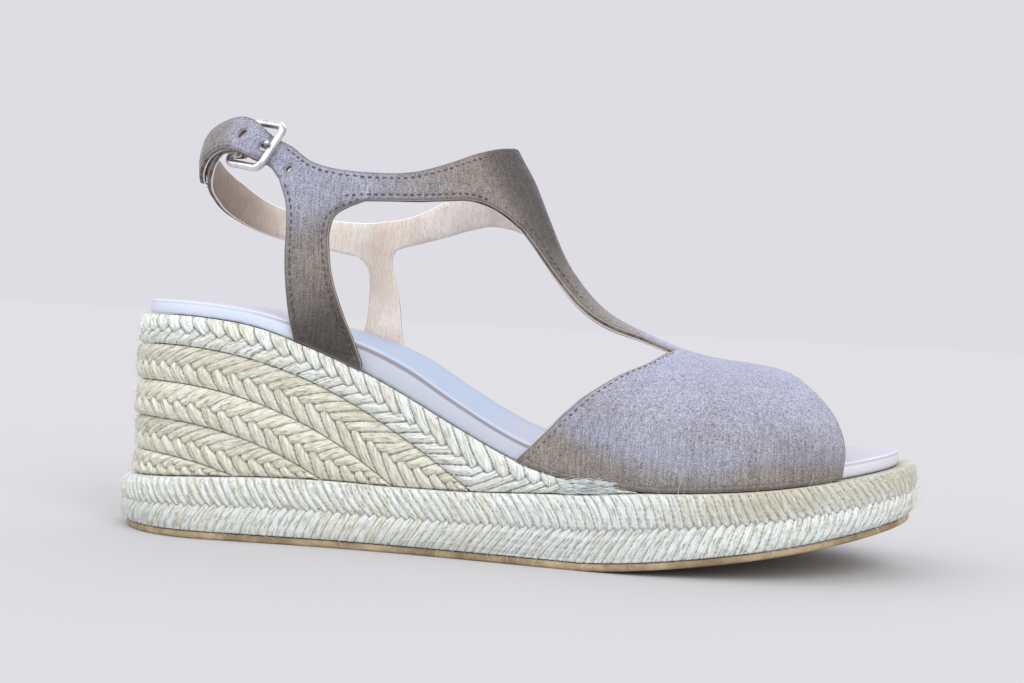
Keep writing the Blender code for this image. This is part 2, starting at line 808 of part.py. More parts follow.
def triangulate(outlines, creases, holes):
    """Triangles of the pattern inside its outlines and outside its holes."""
    loops = [spaced(loop, CUT_SPACING) for loop in outlines]
    cuts = [spaced(loop, CUT_SPACING) for loop in holes]
    scale = np.array(pattern_scale())
    lines = []
    for start, end in creases:
        length = np.linalg.norm((np.array(end) - np.array(start)) * scale)
        count = 1 + max(1, round(length / CUT_SPACING))
        lines.append([tuple(p) for p in np.linspace(start, end, count)])
    verts, edges, faces = [], [], []
    for loop in loops:
        faces.append(list(range(len(verts), len(verts) + len(loop))))
        verts += loop
    for cut in cuts:
        start = len(verts)
        edges += [(start + i, start + (i + 1) % len(cut)) for i in range(len(cut))]
        verts += cut
    for line in lines:
        start = len(verts)
        edges += [(start + i, start + i + 1) for i in range(len(line) - 1)]
        verts += line
    verts += [tuple(p) for p in fill_points(loops, np.array(verts))]
    flat = [Vector(np.array(v) * scale) for v in verts]
    points, _, found, *_ = delaunay_2d_cdt(flat, edges, faces, 1, 1e-6)
    pattern = np.array([tuple(p) for p in points]) / scale
    found = np.array(found)
    middles = pattern[found].mean(axis=1)
    gone = np.any([inside(middles, cut) for cut in holes], axis=0)
    return pattern, found[~gone]


def build_upper(last, frame, collection, root):
    pattern, faces = triangulate(*upper_pattern(last))
    points = lay(last, frame, pattern)
    mesh = bpy.data.meshes.new("upper")
    mesh.from_pydata([tuple(p) for p in points], [], [tuple(int(i) for i in f) for f in faces])
    work = bmesh.new()
    work.from_mesh(mesh)
    loose = [v for v in work.verts if not v.link_faces]
    bmesh.ops.delete(work, geom=loose, context="VERTS")
    bmesh.ops.remove_doubles(work, verts=work.verts, dist=1e-5)
    work.to_mesh(mesh)
    work.free()
    mesh.shade_smooth()
    upper = add_object("upper", mesh, "upper", collection, root)
    wall = upper.modifiers.new("wall", "SOLIDIFY")
    wall.thickness = WALL
    wall.offset = -1.0
    wall.use_even_offset = True
    wall.use_quality_normals = True
    return upper


def wire(name, points, radius, cyclic, finish, collection, root):
    """A round wire along points, with closed ends."""
    curve = bpy.data.curves.new(name, "CURVE")
    curve.dimensions = "3D"
    curve.bevel_depth = radius
    curve.bevel_resolution = 2
    curve.use_fill_caps = True
    spline = curve.splines.new("POLY")
    spline.points.add(len(points) - 1)
    for slot, place in zip(spline.points, points):
        slot.co = (*place, 1)
    spline.use_cyclic_u = cyclic
    return add_object(name, curve, finish, collection, root)


def rounded_rectangle(half_long, half_tall, corner, steps=4):
    """Corner arcs of a rectangle about its middle."""
    corner = min(corner, half_long * 0.95, half_tall * 0.95)
    points = []
    for quarter in range(4):
        angle = quarter * math.pi / 2
        sx = 1 if quarter in (0, 3) else -1
        sy = 1 if quarter in (0, 1) else -1
        for step in range(steps + 1):
            turn = angle + step / steps * math.pi / 2
            points.append(
                (
                    sx * (half_long - corner) + corner * math.cos(turn),
                    sy * (half_tall - corner) + corner * math.sin(turn),
                )
            )
    return points


def build_buckle(frame, collection, root):
    half_bar = STRAP_WIDTH / 2 + BUCKLE_SIDE_ROOM + BUCKLE_WIRE / 2
    outline = rounded_rectangle(frame.span / 2, half_bar, BUCKLE_CORNER)
    path = [frame.place(frame.span / 2 + a, u, 0.0) for a, u in outline]
    wire("buckle_frame", path, BUCKLE_WIRE / 2, True, "buckle", collection, root)
    hook = frame.under + PRONG_WIRE / 2
    steps = np.radians(np.linspace(PRONG_HOOK_TURN, 90, 8))
    route = [(hook * math.cos(t), hook * math.sin(t)) for t in steps]
    route += [(frame.span * share, hook * lift) for share, lift in PRONG_RISE]
    route.append((frame.span + PRONG_OVERHANG, hook * PRONG_RISE[-1][1]))
    path = [frame.place(a, 0.0, o) for a, o in route]
    wire("buckle_prong", path, PRONG_WIRE / 2, False, "buckle", collection, root)


def clear_scene():
    for old in list(bpy.data.objects):
        bpy.data.objects.remove(old, do_unlink=True)


def build():
    clear_scene()
    collection = bpy.data.collections.new("t_bar_espadrille")
    bpy.context.scene.collection.children.link(collection)
    root = bpy.data.objects.new("espadrille_root", None)
    collection.objects.link(root)
    root.location = (0.0, centring(), 0.0)
    last = Last()
    frame = BuckleFrame(last)
    build_sole(collection, root)
    build_upper(last, frame, collection, root)
    build_buckle(frame, collection, root)


build()
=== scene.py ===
"""The look of a right T-bar wedge espadrille: suede straps, braided jute, nickel buckle.

The pieces are worked out with numpy from the shoe's own named sizes and tables, in its frame: +X
runs to the toe, +Y to the medial side and +Z up.
"""

import json
import math

import bpy
import numpy as np
from mathutils import Matrix, Vector
from mathutils.geometry import delaunay_2d_cdt

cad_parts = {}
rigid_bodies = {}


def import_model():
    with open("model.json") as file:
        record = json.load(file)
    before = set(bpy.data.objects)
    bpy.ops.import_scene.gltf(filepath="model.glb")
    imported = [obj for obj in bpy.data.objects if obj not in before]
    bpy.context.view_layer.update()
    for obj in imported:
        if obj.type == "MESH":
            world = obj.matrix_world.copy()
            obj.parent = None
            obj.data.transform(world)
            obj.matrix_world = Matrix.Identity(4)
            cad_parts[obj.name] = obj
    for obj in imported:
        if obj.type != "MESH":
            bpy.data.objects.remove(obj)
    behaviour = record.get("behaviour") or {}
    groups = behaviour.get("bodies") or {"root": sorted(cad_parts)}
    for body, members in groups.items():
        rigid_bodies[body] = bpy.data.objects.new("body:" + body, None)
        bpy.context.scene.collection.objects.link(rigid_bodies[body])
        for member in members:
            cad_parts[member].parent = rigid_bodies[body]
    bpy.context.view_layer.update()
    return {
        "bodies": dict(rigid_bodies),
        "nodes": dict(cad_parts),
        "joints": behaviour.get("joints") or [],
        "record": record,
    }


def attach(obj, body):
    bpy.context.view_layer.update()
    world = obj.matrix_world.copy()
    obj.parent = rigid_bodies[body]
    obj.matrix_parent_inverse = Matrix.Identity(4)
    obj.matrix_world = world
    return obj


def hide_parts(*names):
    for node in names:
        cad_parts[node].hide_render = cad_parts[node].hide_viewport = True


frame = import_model()

# Driving dimensions, in metres
LENGTH = 0.250
BALL_WIDTH = 0.0915
SOLE_HEIGHT = 0.0198
WEDGE_RISE = 0.0512
TOE_SPRING = 0.0165
OUTSOLE_THICKNESS = 0.0022
INSOLE_THICKNESS = 0.0070
REACH = 0.070
WALL = 0.0023
FIT = 0.0003
SEAM = 0.0006
PLATFORM_BULGE = 0.0012
ROW_BULGE = 0.0014
OUTSOLE_SETBACK = 0.0015
WEDGE_SETBACK = 0.0025
INSOLE_SETBACK = 0.0055
FEATHER = 0.0008
STRAP_WIDTH = 0.0104
BUCKLE_WIRE = 0.0023
BUCKLE_SIDE_ROOM = 0.0013
BUCKLE_CORNER = 0.0016
PRONG_WIRE = 0.0014
PRONG_OVERHANG = 0.0012
HOLE_RADIUS = 0.0009
HOLE_SIDES = 10
CUT_SPACING = 0.0013
FILL_SPACING = 0.0020
FILL_GAP = 0.55

# Where the sole's parts begin and end, as shares of LENGTH from the heel
HEEL_ROUND = 0.13
TOE_ROUND = 0.24
TOE_POWER = 2.3
SPRING_FROM = 0.589
SPRING_POWER = 1.4
TOE_SWING = 0.016

# Outline of the platform: share of LENGTH, then the lateral and medial halves over BALL_WIDTH
OUTLINE = (
    (0.00, 0.361, 0.361), (0.13, 0.361, 0.361), (0.30, 0.366, 0.344), (0.42, 0.402, 0.350),
    (0.55, 0.462, 0.393), (0.66, 0.508, 0.456), (0.76, 0.498, 0.492), (0.88, 0.450, 0.490),
    (1.00, 0.370, 0.460),
)
# Platform with its outsole: share of LENGTH, height over SOLE_HEIGHT
PLATFORM = (
    (0.000, 0.80), (0.129, 0.94), (0.259, 1.00), (0.379, 0.98), (0.469, 1.00), (0.549, 1.06),
    (0.649, 1.11), (0.729, 1.04), (0.819, 0.965), (0.899, 0.92), (1.000, 0.86),
)
# Wedge over the platform: share of LENGTH, height over WEDGE_RISE
WEDGE = (
    (0.000, 1.000), (0.117, 0.945), (0.181, 0.891), (0.233, 0.809), (0.321, 0.650),
    (0.369, 0.543), (0.433, 0.379), (0.495, 0.221), (0.520, 0.164), (0.567, 0.090),
    (0.613, 0.047), (0.669, 0.000), (1.000, 0.000),
)
# Lines between the rope rows: height at the heel over WEDGE_RISE, share of LENGTH where it ends
ROW_LINES = (
    (0.805, 0.461), (0.585, 0.365), (0.365, 0.277), (0.158, 0.169),
)
ROW_LINE_POWER = 2.15
# Insole: share of LENGTH, thickness over INSOLE_THICKNESS
INSOLE = (
    (0.000, 0.66), (0.159, 0.64), (0.229, 0.77), (0.309, 1.15), (0.374, 1.30), (0.429, 1.14),
    (0.489, 1.00), (0.589, 0.88), (0.789, 0.70), (1.000, 0.63),
)
# Sides of the sole's layers: level from 0 below to 1 on top, setback over the layer's bulge
ROPE_SIDE = ((0.0, 1.0), (0.15, 0.35), (0.5, 0.0), (0.85, 0.35), (1.0, 1.0))
PLATFORM_SIDE = (
    (0.0, 1.0), (0.12, 0.30), (0.32, 0.0), (0.5, 0.28), (0.68, 0.0), (0.88, 0.30), (1.0, 1.0),
)

# The last: plane, then instep, middle and heel depth over REACH, swell of the width over the
# insole's, and the power that rounds the instep
LAST = (
    (-40, 1.280, 1.40, 0.60, 1.005, 2.10), (-20, 1.075, 1.39, 0.60, 1.005, 2.10),
    (0, 1.020, 1.41, 0.60, 1.005, 2.00), (18, 0.978, 1.42, 0.65, 1.020, 1.75),
    (30, 0.972, 1.42, 0.75, 1.020, 1.45), (45, 0.932, 1.42, 0.95, 1.030, 1.35),
    (60, 0.889, 1.50, 1.05, 1.055, 1.30), (72, 0.890, 1.60, 0.85, 1.070, 1.30),
    (80, 0.928, 1.64, 0.735, 1.030, 1.30), (84, 0.955, 1.64, 0.705, 0.880, 1.40),
    (92, 1.010, 1.64, 0.670, 0.500, 1.50),
)
HEEL_POWER = 3.0
PIVOT_SHARE = 0.745
PIVOT_LIFT = 1.563
HEEL_SEAT_SHARE = 0.19

# Vamp: share of the way down each side, rear plane, front plane
VAMP = (
    (0.00, 10.0, -19.5), (0.14, 10.5, -20.3), (0.26, 12.2, -21.7), (0.42, 16.4, -24.6),
    (0.52, 20.5, -26.6), (0.65, 24.3, -28.9), (0.77, 26.5, -30.4), (0.87, 27.7, -31.0),
    (1.00, 29.2, -30.5),
)
# T-bar: plane, half angle round the instep
T_BAR = (
    (4, 24.0), (9, 19.0), (13, 15.5), (18, 14.5), (26, 16.0), (37, 17.5), (47, 15.8), (56, 15.5),
    (64, 17.0), (76, 19.0),
)
# Lateral belt, branch and tab: around, lower plane, upper plane
LATERAL_BELT = (
    (0, 57.0, 82.6), (8, 58.5, 82.2), (16, 60.5, 81.3), (20, 65.5, 80.8), (25, 69.0, 80.1),
    (31, 70.8, 79.4), (43, 71.9, 78.5), (58, 72.8, 78.1), (76, 74.0, 78.7), (95, 75.0, 79.9),
    (110, 75.4, 81.5), (118, 76.8, 82.9), (124, 79.2, 84.0), (131, 81.8, 84.9),
    (138, 82.55, 85.8), (144, 83.3, 86.8), (150, 84.0, 87.5), (155, 84.0, 87.5),
    (160, 83.4, 86.9), (166, 82.2, 85.8), (172, 81.4, 84.6),
)
# Medial belt, branch and heel strap: around, lower plane, upper plane
MEDIAL_BELT = (
    (0, 57.0, 82.6), (8, 58.5, 81.8), (16, 60.4, 80.4), (22, 63.4, 78.9), (30, 66.0, 77.3),
    (45, 67.5, 75.2), (64, 68.2, 74.1), (79, 68.7, 73.7), (94, 69.1, 73.9), (106, 69.3, 74.4),
    (118, 69.9, 75.4), (131, 72.4, 76.8), (145, 75.0, 79.2), (160, 77.8, 82.0), (180, 79.9, 83.9),
    (187, 80.6, 84.4), (193, 81.5, 85.1), (199, 83.1, 86.1), (205, 84.4, 87.0),
)
# Quarter straps: rise, front plane, front around, rear plane, rear around
LATERAL_QUARTER = (
    (0.00, 53.0, 134.5, 60.1, 144.7), (0.15, 57.0, 130.8, 62.5, 142.4),
    (0.30, 60.5, 128.0, 65.2, 139.2), (0.50, 65.0, 122.8, 69.2, 133.8),
    (0.70, 69.3, 116.0, 73.2, 128.0), (0.80, 71.9, 110.8, 75.4, 125.2),
    (0.90, 73.8, 103.0, 77.6, 124.2), (1.00, 74.7, 84.0, 80.9, 126.5),
)
MEDIAL_QUARTER = (
    (0.00, 53.8, 131.4, 58.8, 138.3), (0.20, 57.3, 124.6, 60.3, 134.0),
    (0.40, 60.8, 117.3, 62.8, 128.0), (0.60, 64.3, 111.3, 65.6, 121.8),
    (0.78, 67.3, 106.2, 68.4, 118.2), (0.90, 68.9, 100.5, 70.8, 121.5),
    (1.00, 69.6, 94.0, 73.0, 133.0),
)

# Ridge down the middle of the T-bar: its lowest and highest plane, and beside it the angles of
# the lines that keep it round, each with its highest plane
RIDGE_FOOT = 9.0
RIDGE_TOP = 82.0
RIDGE_STEPS = ((3.5, 81.6), (8.0, 80.8))

# Buckle: the angles round the last where its bars and the tab's holes lie
FRONT_BAR = 131.0
REAR_BAR = 152.0
ZONE_END = 164.0
PRONG_HOLE = 135.4
NEAR_HOLE = 122.0
FAR_HOLE = 145.5
PRONG_HOLE_STRETCH = 1.2
REAR_BAR_DEPTH = 0.0032
FRONT_BAR_ROOM = 0.0006
PRONG_HOOK_TURN = 225.0
# Tab: share of the way from the front bar to the rear bar, lift of its face off the last
TAB_LIFT = (
    (-0.05, 0.0), (0.03, 0.0), (0.11, 0.0003), (0.20, 0.0012), (0.30, 0.0025), (0.44, 0.0037),
    (0.60, 0.0043), (0.76, 0.0042), (0.90, 0.0039), (1.02, 0.0036), (1.20, 0.0031),
    (1.45, 0.0028), (1.70, 0.0027), (2.20, 0.0027),
)
# Prong: share of the way from the rear bar to the front bar, rise over its hook's radius
PRONG_RISE = (
    (0.15, 0.92), (0.35, 0.52), (0.58, 0.04), (0.76, -0.28), (0.84, -0.05), (0.94, 0.75),
    (1.00, 1.04),
)
STRAP_LINES = 3.0
TAB_LINES = 2.2
FOLD_STEPS = 6
FOLD_TURN = 14.0
FOLD_TAIL = 11.0
FOLD_LAP = 1.0
SLOT_BEFORE = 5.2
SLOT_AFTER = 5.0
SLOT_SLANT = 0.1
SLOT_HALF = PRONG_WIRE / 2 + 4 * FIT

# Camera, from the photo's angle to the shoe
LENS = 50.6
CAMERA_TURN = 5.0
CAMERA_PITCH = -0.86
CAMERA_ROLL = 3.0
CAMERA_AIM = (-0.0028, 0.0, 0.071)
CAMERA_DISTANCE = 0.456

# Rope: strand pitch along a row, and slopes of the strands over and under its middle
ROW_PITCH = 0.0049
PLATFORM_PITCH = 0.0027
PLATFORM_SLOPES = (0.65, -0.55)
TOP_ROW_SLOPES = (0.35, -1.5)
ROW_SLOPES = (-1.35, 0.45)
STRAND_DEPTH = 0.0014
STRAND_POWER = 0.9
PLY_DEPTH = 0.00022
PLIES = 3
# Where strands meet, over the pitch: zigzag of their ends, and run over which an end tucks under;
# then the share of its height that it keeps there, and how far it sinks
ZIGZAG = 0.35
TUCK_RUN = 0.30
TUCK_HEIGHT = 0.45
TUCK_SINK = 0.35
# Steps that give each strand its own place in the fibres' noise
STRAND_STEP = 0.013
SIDE_STEP = 57.0
HALF_STEP = 0.05
# Slow waves that keep the braid from looking even: how many, their push along and outward
WAVES = 6
WAVE_RUN = 0.0005
WAVE_DEPTH = 0.00012
ROPE_STEP = 0.00043
# Back of a rope band, inside the shoe: depth, depth at its corners past the bulge, points
BAND_DEPTH = 0.009
BAND_LIP = 0.002
BACK_POINTS = 4
ROW_RUN_ON = 0.02
PLATFORM_SEED = 3
ROW_SEED = 11

# Loose fibres, which are stalks of a few rings, and the frayed end of the top row
STALK_RINGS = 5
STALK_SIDES = 3
FUZZ_COUNT = 7600
FUZZ_LENGTH = (0.0012, 0.0042)
FUZZ_RADIUS = (0.00004, 0.00009)
FUZZ_LEAN = (0.15, 0.75)
FUZZ_BEND = (-0.9, 0.5)
FUZZ_ROOT = 0.0001
FUZZ_SEED = 5
FRAY_COUNT = 420
FRAY_FROM = 0.016
FRAY_TO = 0.0305
FRAY_LENGTH = (0.002, 0.0046)
FRAY_RADIUS = (0.00007, 0.00013)
FRAY_SPREAD = 0.0012
FRAY_SWELL = 0.0016
FRAY_SWELL_RUN = 0.008
FRAY_OUT = (-0.45, 0.05)
FRAY_UP = (-0.10, 0.28)
FRAY_CURL = 0.25
FRAY_SEED = 8

# Sides of the sole's dressed layers: level from 0 below to 1 on top, setback over the bulge
SOLE_EDGE = ((0.0, 0.45), (0.12, 0.12), (0.3, 0.0), (0.85, 0.0), (1.0, 0.3))
INSOLE_EDGE = (
    (0.0, 0.3), (0.15, 0.1), (0.3, 0.0), (0.5, 0.0), (0.7, 0.05), (0.82, 0.16), (0.9, 0.32),
    (0.96, 0.55), (1.0, 0.95),
)

SLAB_STATIONS = 260
SLAB_COLUMNS = 25
SLAB_EVEN = 0.15

# Stitches and edges
STITCH_PITCH = 0.0022
STITCH_LENGTH = 0.0013
STITCH_RADIUS = 0.00023
STITCH_INSET = 0.0017
FINE_LENGTH = 0.0012
FINE_RADIUS = 0.00018
FINE_INSET = 0.0014
STITCH_RINGS = 7
STITCH_SIDES = 6
EDGE_ROUND = 0.00025
EDGE_DROP = 0.0006
RIM_ROWS = 6

# Buckle wire: bend of the frame's corners, and its section between a circle and a square
BUCKLE_BEND = BUCKLE_CORNER * 1.6
WIRE_SIDES = 16
WIRE_POWER = 2.6

# Tone of the suede: -1 dark brown, 0 taupe, 1 lilac grey; in each, places and then their tones.
# It also carries painted light: down the vamp, painted sky sheen at the top and painted shade at
# the foot, and on the quarter straps painted shade low down.
VAMP_TONE_AND_SHADING = ((0, 40, 66, 92, 104), (1.0, 0.9, 0.66, 0.4, -0.25))
STEM_TONE = ((12, 22, 34, 46, 58, 66), (1.0, 0.4, -0.25, -0.5, -0.68, -0.75))
BRANCH_TONE = ((6, 14, 20, 30, 48, 64, 80), (-0.8, -0.6, -0.15, 0.1, 0.26, 0.36, 0.52))
QUARTER_TONE_AND_SHADING = (
    (56, 60.5, 63, 65.3, 68, 70.5, 73, 75.3, 78),
    (-0.97, -0.88, -0.6, -0.33, -0.1, 0.1, 0.35, 0.55, 0.65),
)
# Creases of the upper: around, plane, direction in degrees, then length, width and depth in mm
CREASES = (
    (-52.0, -6.0, 70.0, 16.0, 3.0, 0.18), (-30.0, -17.0, 20.0, 14.0, 3.0, 0.15),
    (-64.0, 14.0, 55.0, 15.0, 3.2, 0.16), (20.0, -4.0, 100.0, 18.0, 4.0, 0.14),
    (-12.0, -24.0, 10.0, 16.0, 2.6, 0.20), (-96.0, 73.0, 60.0, 9.0, 2.4, 0.22),
    (-118.0, 70.0, 60.0, 10.0, 2.6, 0.18), (-131.0, 58.0, 10.0, 8.0, 2.6, 0.16),
    (-44.0, 75.0, 90.0, 7.0, 2.8, 0.14), (-22.0, 73.0, 75.0, 10.0, 3.4, 0.22),
    (4.0, 44.0, 0.0, 8.0, 3.0, 0.14), (70.0, 71.0, 80.0, 7.0, 2.6, 0.18),
    (118.0, 64.0, 30.0, 8.0, 2.6, 0.20),
)


def colour(red, green, blue):
    """A colour read off in screen values, 0 to 255, as the linear colour that shaders take."""
    share = np.array([red, green, blue]) / 255
    linear = np.where(share > 0.04045, ((share + 0.055) / 1.055) ** 2.4, share / 12.92)
    return (*(float(v) for v in linear), 1.0)


# Colours
SUEDE_BROWN = colour(166, 159, 151)
SUEDE_BROWN_DARK = colour(152, 145, 138)
SUEDE_LILAC = colour(196, 202, 228)
SUEDE_LILAC_DARK = colour(184, 188, 211)
# Dark brown: the darker suede of the T's stem and branch fronts, and painted shade at the vamp's
# foot and low on the quarter straps
SUEDE_DARK_AND_SHADE = colour(88, 83, 78)
# Dark band along the suede's cut edges: edge paint and painted shade
SUEDE_EDGE_PAINT_AND_SHADE = colour(92, 84, 82)
SUEDE_SHEEN = colour(225, 222, 238)
NAP_SHADE = colour(128, 126, 128)
WHITE = colour(255, 255, 255)
LINING = colour(236, 231, 223)
LINING_PINK = colour(219, 207, 197)
# Painted shade inside the heel
LINING_HEEL_SHADE = colour(112, 92, 78)
LINING_CREASE = colour(188, 164, 142)
EDGE_PAINT = colour(72, 60, 56)
EDGE_WORN = colour(128, 116, 108)
ROPE_WHITE = colour(222, 230, 231)
ROPE_PALE = colour(217, 218, 206)
ROPE_STRAW = colour(205, 202, 182)
ROPE_GOLD = colour(176, 168, 142)
ROPE_LIGHT = colour(244, 243, 232)
ROPE_SHADE = colour(163, 158, 134)
ROPE_RUST = colour(172, 140, 100)
# Painted shade in the valleys between the strands
ROPE_VALLEY_SHADE = colour(104, 94, 70)
FIBRE_TAN = colour(206, 200, 176)
TUFT_LIGHT = colour(240, 246, 246)
TUFT_SHADE = colour(214, 222, 220)
INSOLE_PALE = colour(192, 205, 223)
INSOLE_PINK = colour(200, 204, 216)
# Painted blue sky reflection on the insole's top face
INSOLE_SKY_REFLECTION = colour(160, 178, 204)
# Painted shade along the insole's waist
INSOLE_WAIST_SHADE = colour(170, 175, 186)
INSOLE_SHADE = colour(190, 182, 184)
# The insole's top face, darkened with painted shade
INSOLE_TOP_SHADE = colour(186, 182, 198)
INSOLE_TOE = colour(208, 203, 208)
INSOLE_LINE = colour(110, 96, 100)
OUTSOLE_TAN = colour(170, 152, 122)
OUTSOLE_DARK = colour(122, 104, 80)
THREAD_DARK = colour(62, 56, 62)
THREAD_LIGHT = colour(98, 92, 98)
FINE_THREAD_DARK = colour(66, 60, 70)
FINE_THREAD_LIGHT = colour(100, 94, 106)
NICKEL = colour(232, 232, 234)
NICKEL_FILM = colour(196, 194, 196)

# Studio
SKY = colour(222, 221, 227)
SKY_STRENGTH = 1.0
KEY_POWER = 2.2
FILL_POWER = 1.2
BACK_POWER = 0.6
FLOOR = (0.495, 0.496, 0.505, 1.0)
FLOOR_RADIUS = 14.0
FLOOR_SIDES = 64
WARM_WHITE = (1.0, 0.99, 0.97)
COOL_WHITE = (0.96, 0.97, 1.0)


def smooth(rows, x, column=1):
    """A column of a table at x, by cubic pieces that pass through every row."""
    table = np.array(rows, float)
    xs, ys = table[:, 0], table[:, column]
    slopes = np.diff(ys) / np.diff(xs)
    tangents = np.concatenate(
        [slopes[:1], (slopes[:-1] + slopes[1:]) / 2, slopes[-1:]]
    )
    x = np.clip(x, xs[0], xs[-1])
    i = np.clip(np.searchsorted(xs, x, side="right") - 1, 0, len(xs) - 2)
    step = xs[i + 1] - xs[i]
    t = (x - xs[i]) / step
    rise = ys[i + 1] - ys[i]
    start, end = tangents[i] * step, tangents[i + 1] * step
    return ys[i] + t * start + t**2 * (3 * rise - 2 * start - end) + t**3 * (start + end - 2 * rise)


def ease(t):
    """0 to 1 with level ends."""
    t = np.clip(t, 0, 1)
    return t * t * (3 - 2 * t)


def share_of(x):
    return np.clip(np.asarray(x) / LENGTH + 0.5, 0, 1)


def along_at(share, inset):
    """Place along the shoe at a share of the outline that is drawn in by an inset."""
    return -LENGTH / 2 + inset + share * (LENGTH - 2 * inset)


def ground(x):
    """Underside of the sole: flat from the heel to the ball, then the toe spring."""
    lift = np.clip((share_of(x) - SPRING_FROM) / (1 - SPRING_FROM), 0, 1)
    return TOE_SPRING * lift**SPRING_POWER


def outsole_top(x):
    return ground(x) + OUTSOLE_THICKNESS


def platform_top(x):
    return ground(x) + SOLE_HEIGHT * smooth(PLATFORM, share_of(x))


def seat(x):
    """Top of the rope, which carries the insole and the upper's edge."""
    return platform_top(x) + WEDGE_RISE * np.maximum(smooth(WEDGE, share_of(x)), 0)


def halves(x, setback):
    """Lateral and medial half widths of the outline at x, drawn in by a setback."""
    s = np.clip((np.asarray(x) + LENGTH / 2 - setback) / (LENGTH - 2 * setback), 0, 1)
    heel = np.sqrt(1 - np.clip(1 - s / HEEL_ROUND, 0, 1) ** 2)
    toe = 1 - np.clip((s - 1 + TOE_ROUND) / TOE_ROUND, 0, 1) ** TOE_POWER
    ends = heel * toe ** (1 / TOE_POWER)
    lateral = (smooth(OUTLINE, s, 1) * BALL_WIDTH - setback) * ends
    medial = (smooth(OUTLINE, s, 2) * BALL_WIDTH - setback) * ends
    swing = TOE_SWING * LENGTH * np.clip((s - 1 + TOE_ROUND) / TOE_ROUND, 0, 1) ** 2
    return lateral - swing, medial + swing


def centring():
    """Shift across the shoe that puts the box's middle over the origin."""
    lateral, medial = halves(np.linspace(-LENGTH / 2, LENGTH / 2, 401), 0)
    return (lateral.max() - medial.max()) / 2


SHIFT = np.array([0.0, centring(), 0.0])


def row_line(number, x):
    """Height of the line under a rope row: 0 is the seat itself, 5 the platform."""
    if number == 0:
        return seat(x)
    if number > len(ROW_LINES):
        return platform_top(x)
    height, end = ROW_LINES[number - 1]
    run = np.clip(share_of(x) / end, 0, 1)
    return platform_top(x) + WEDGE_RISE * height * (1 - run**ROW_LINE_POWER)


def row_front(number):
    """Share of LENGTH where a rope row thins out to a feather on the platform."""
    x = np.linspace(-LENGTH / 2, LENGTH / 2, 1001)
    thick = row_line(number, x) - platform_top(x) - FIT
    return float(share_of(x[int(np.argmax(thick < FEATHER))]))


class Last:
    """The form that the upper lies on."""

    def __init__(self):
        self.pivot_x = PIVOT_SHARE * LENGTH - LENGTH / 2
        self.pivot_z = float(platform_top(self.pivot_x)) + PIVOT_LIFT * REACH
        self.planes = np.arange(LAST[0][0], LAST[-1][0] + 0.5, 0.5)
        self.foot_depth, lateral, medial = self.measure_foot()
        swell = smooth(LAST, self.planes, 4)
        self.lateral, self.medial = lateral * swell, medial * swell

    def direction(self, plane):
        """Start of a plane's axis on the pivot line, and the axis from there to the sole."""
        turn = np.radians(np.maximum(plane, 0))
        ahead = np.radians(np.maximum(-np.asarray(plane), 0)) * REACH
        return self.pivot_x + ahead, -np.sin(turn), -np.cos(turn)

    def measure_foot(self):
        """For each plane, the depth where it meets the rope and the wall's halves there."""
        depth = np.linspace(0.5 * REACH, 6 * REACH, 1501)
        start, dx, dz = (np.reshape(v, (-1, 1)) for v in self.direction(self.planes))
        x = start + depth * dx
        z = self.pivot_z + depth * dz
        heel = (HEEL_SEAT_SHARE - 0.5) * LENGTH
        met = (z <= seat(x) + SEAM) | (x < heel)
        first = np.argmax(met, axis=1)
        x_met = np.take_along_axis(x, first[:, None], axis=1)[:, 0]
        lateral, medial = halves(np.maximum(x_met, heel), INSOLE_SETBACK - FIT - WALL)
        return depth[first], lateral, medial

    def column(self, plane, number):
        return smooth(LAST, plane, number) * REACH

    def spread(self, around, plane):
        """Distance from the middle of a plane's section out to the last."""
        angle = np.radians((np.asarray(around, float) + 180) % 360 - 180)
        width = np.where(
            angle < 0,
            np.interp(plane, self.planes, self.lateral),
            np.interp(plane, self.planes, self.medial),
        )
        front = np.cos(angle) > 0
        instep = self.column(plane, 2) - self.column(plane, 1)
        depth = np.where(front, instep, self.column(plane, 3))
        power = np.where(front, smooth(LAST, plane, 5), HEEL_POWER)
        along, across = np.abs(np.cos(angle)) / depth, np.abs(np.sin(angle)) / width
        return (along**power + across**power) ** (-1 / power)

    def point(self, around, plane):
        """Points of the last's surface, as rows of x, y, z."""
        angle = np.radians(np.asarray(around, float))
        plane = np.asarray(plane, float)
        spread = self.spread(around, plane)
        start, dx, dz = self.direction(plane)
        depth = self.column(plane, 2) - spread * np.cos(angle)
        return np.stack(
            [start + depth * dx, spread * np.sin(angle), self.pivot_z + depth * dz], axis=-1
        )

    def normal(self, around, plane):
        """Unit normals that point out of the last."""
        around, plane = np.asarray(around, float), np.asarray(plane, float)
        step = 0.05
        ringwise = self.point(around + step, plane) - self.point(around - step, plane)
        lengthwise = self.point(around, plane + step) - self.point(around, plane - step)
        out = np.cross(ringwise, lengthwise)
        return out / np.linalg.norm(out, axis=-1, keepdims=True)

    def foot(self, plane, side):
        """Signed angle round the last where a plane meets the rope, on one side."""
        target = float(np.interp(plane, self.planes, self.foot_depth))
        angles = np.linspace(0, 180, 1441)
        planes = np.full_like(angles, plane)
        spread = self.spread(angles * side, planes)
        depth = self.column(planes, 2) - spread * np.cos(np.radians(angles))
        return side * float(np.interp(target, depth, angles))


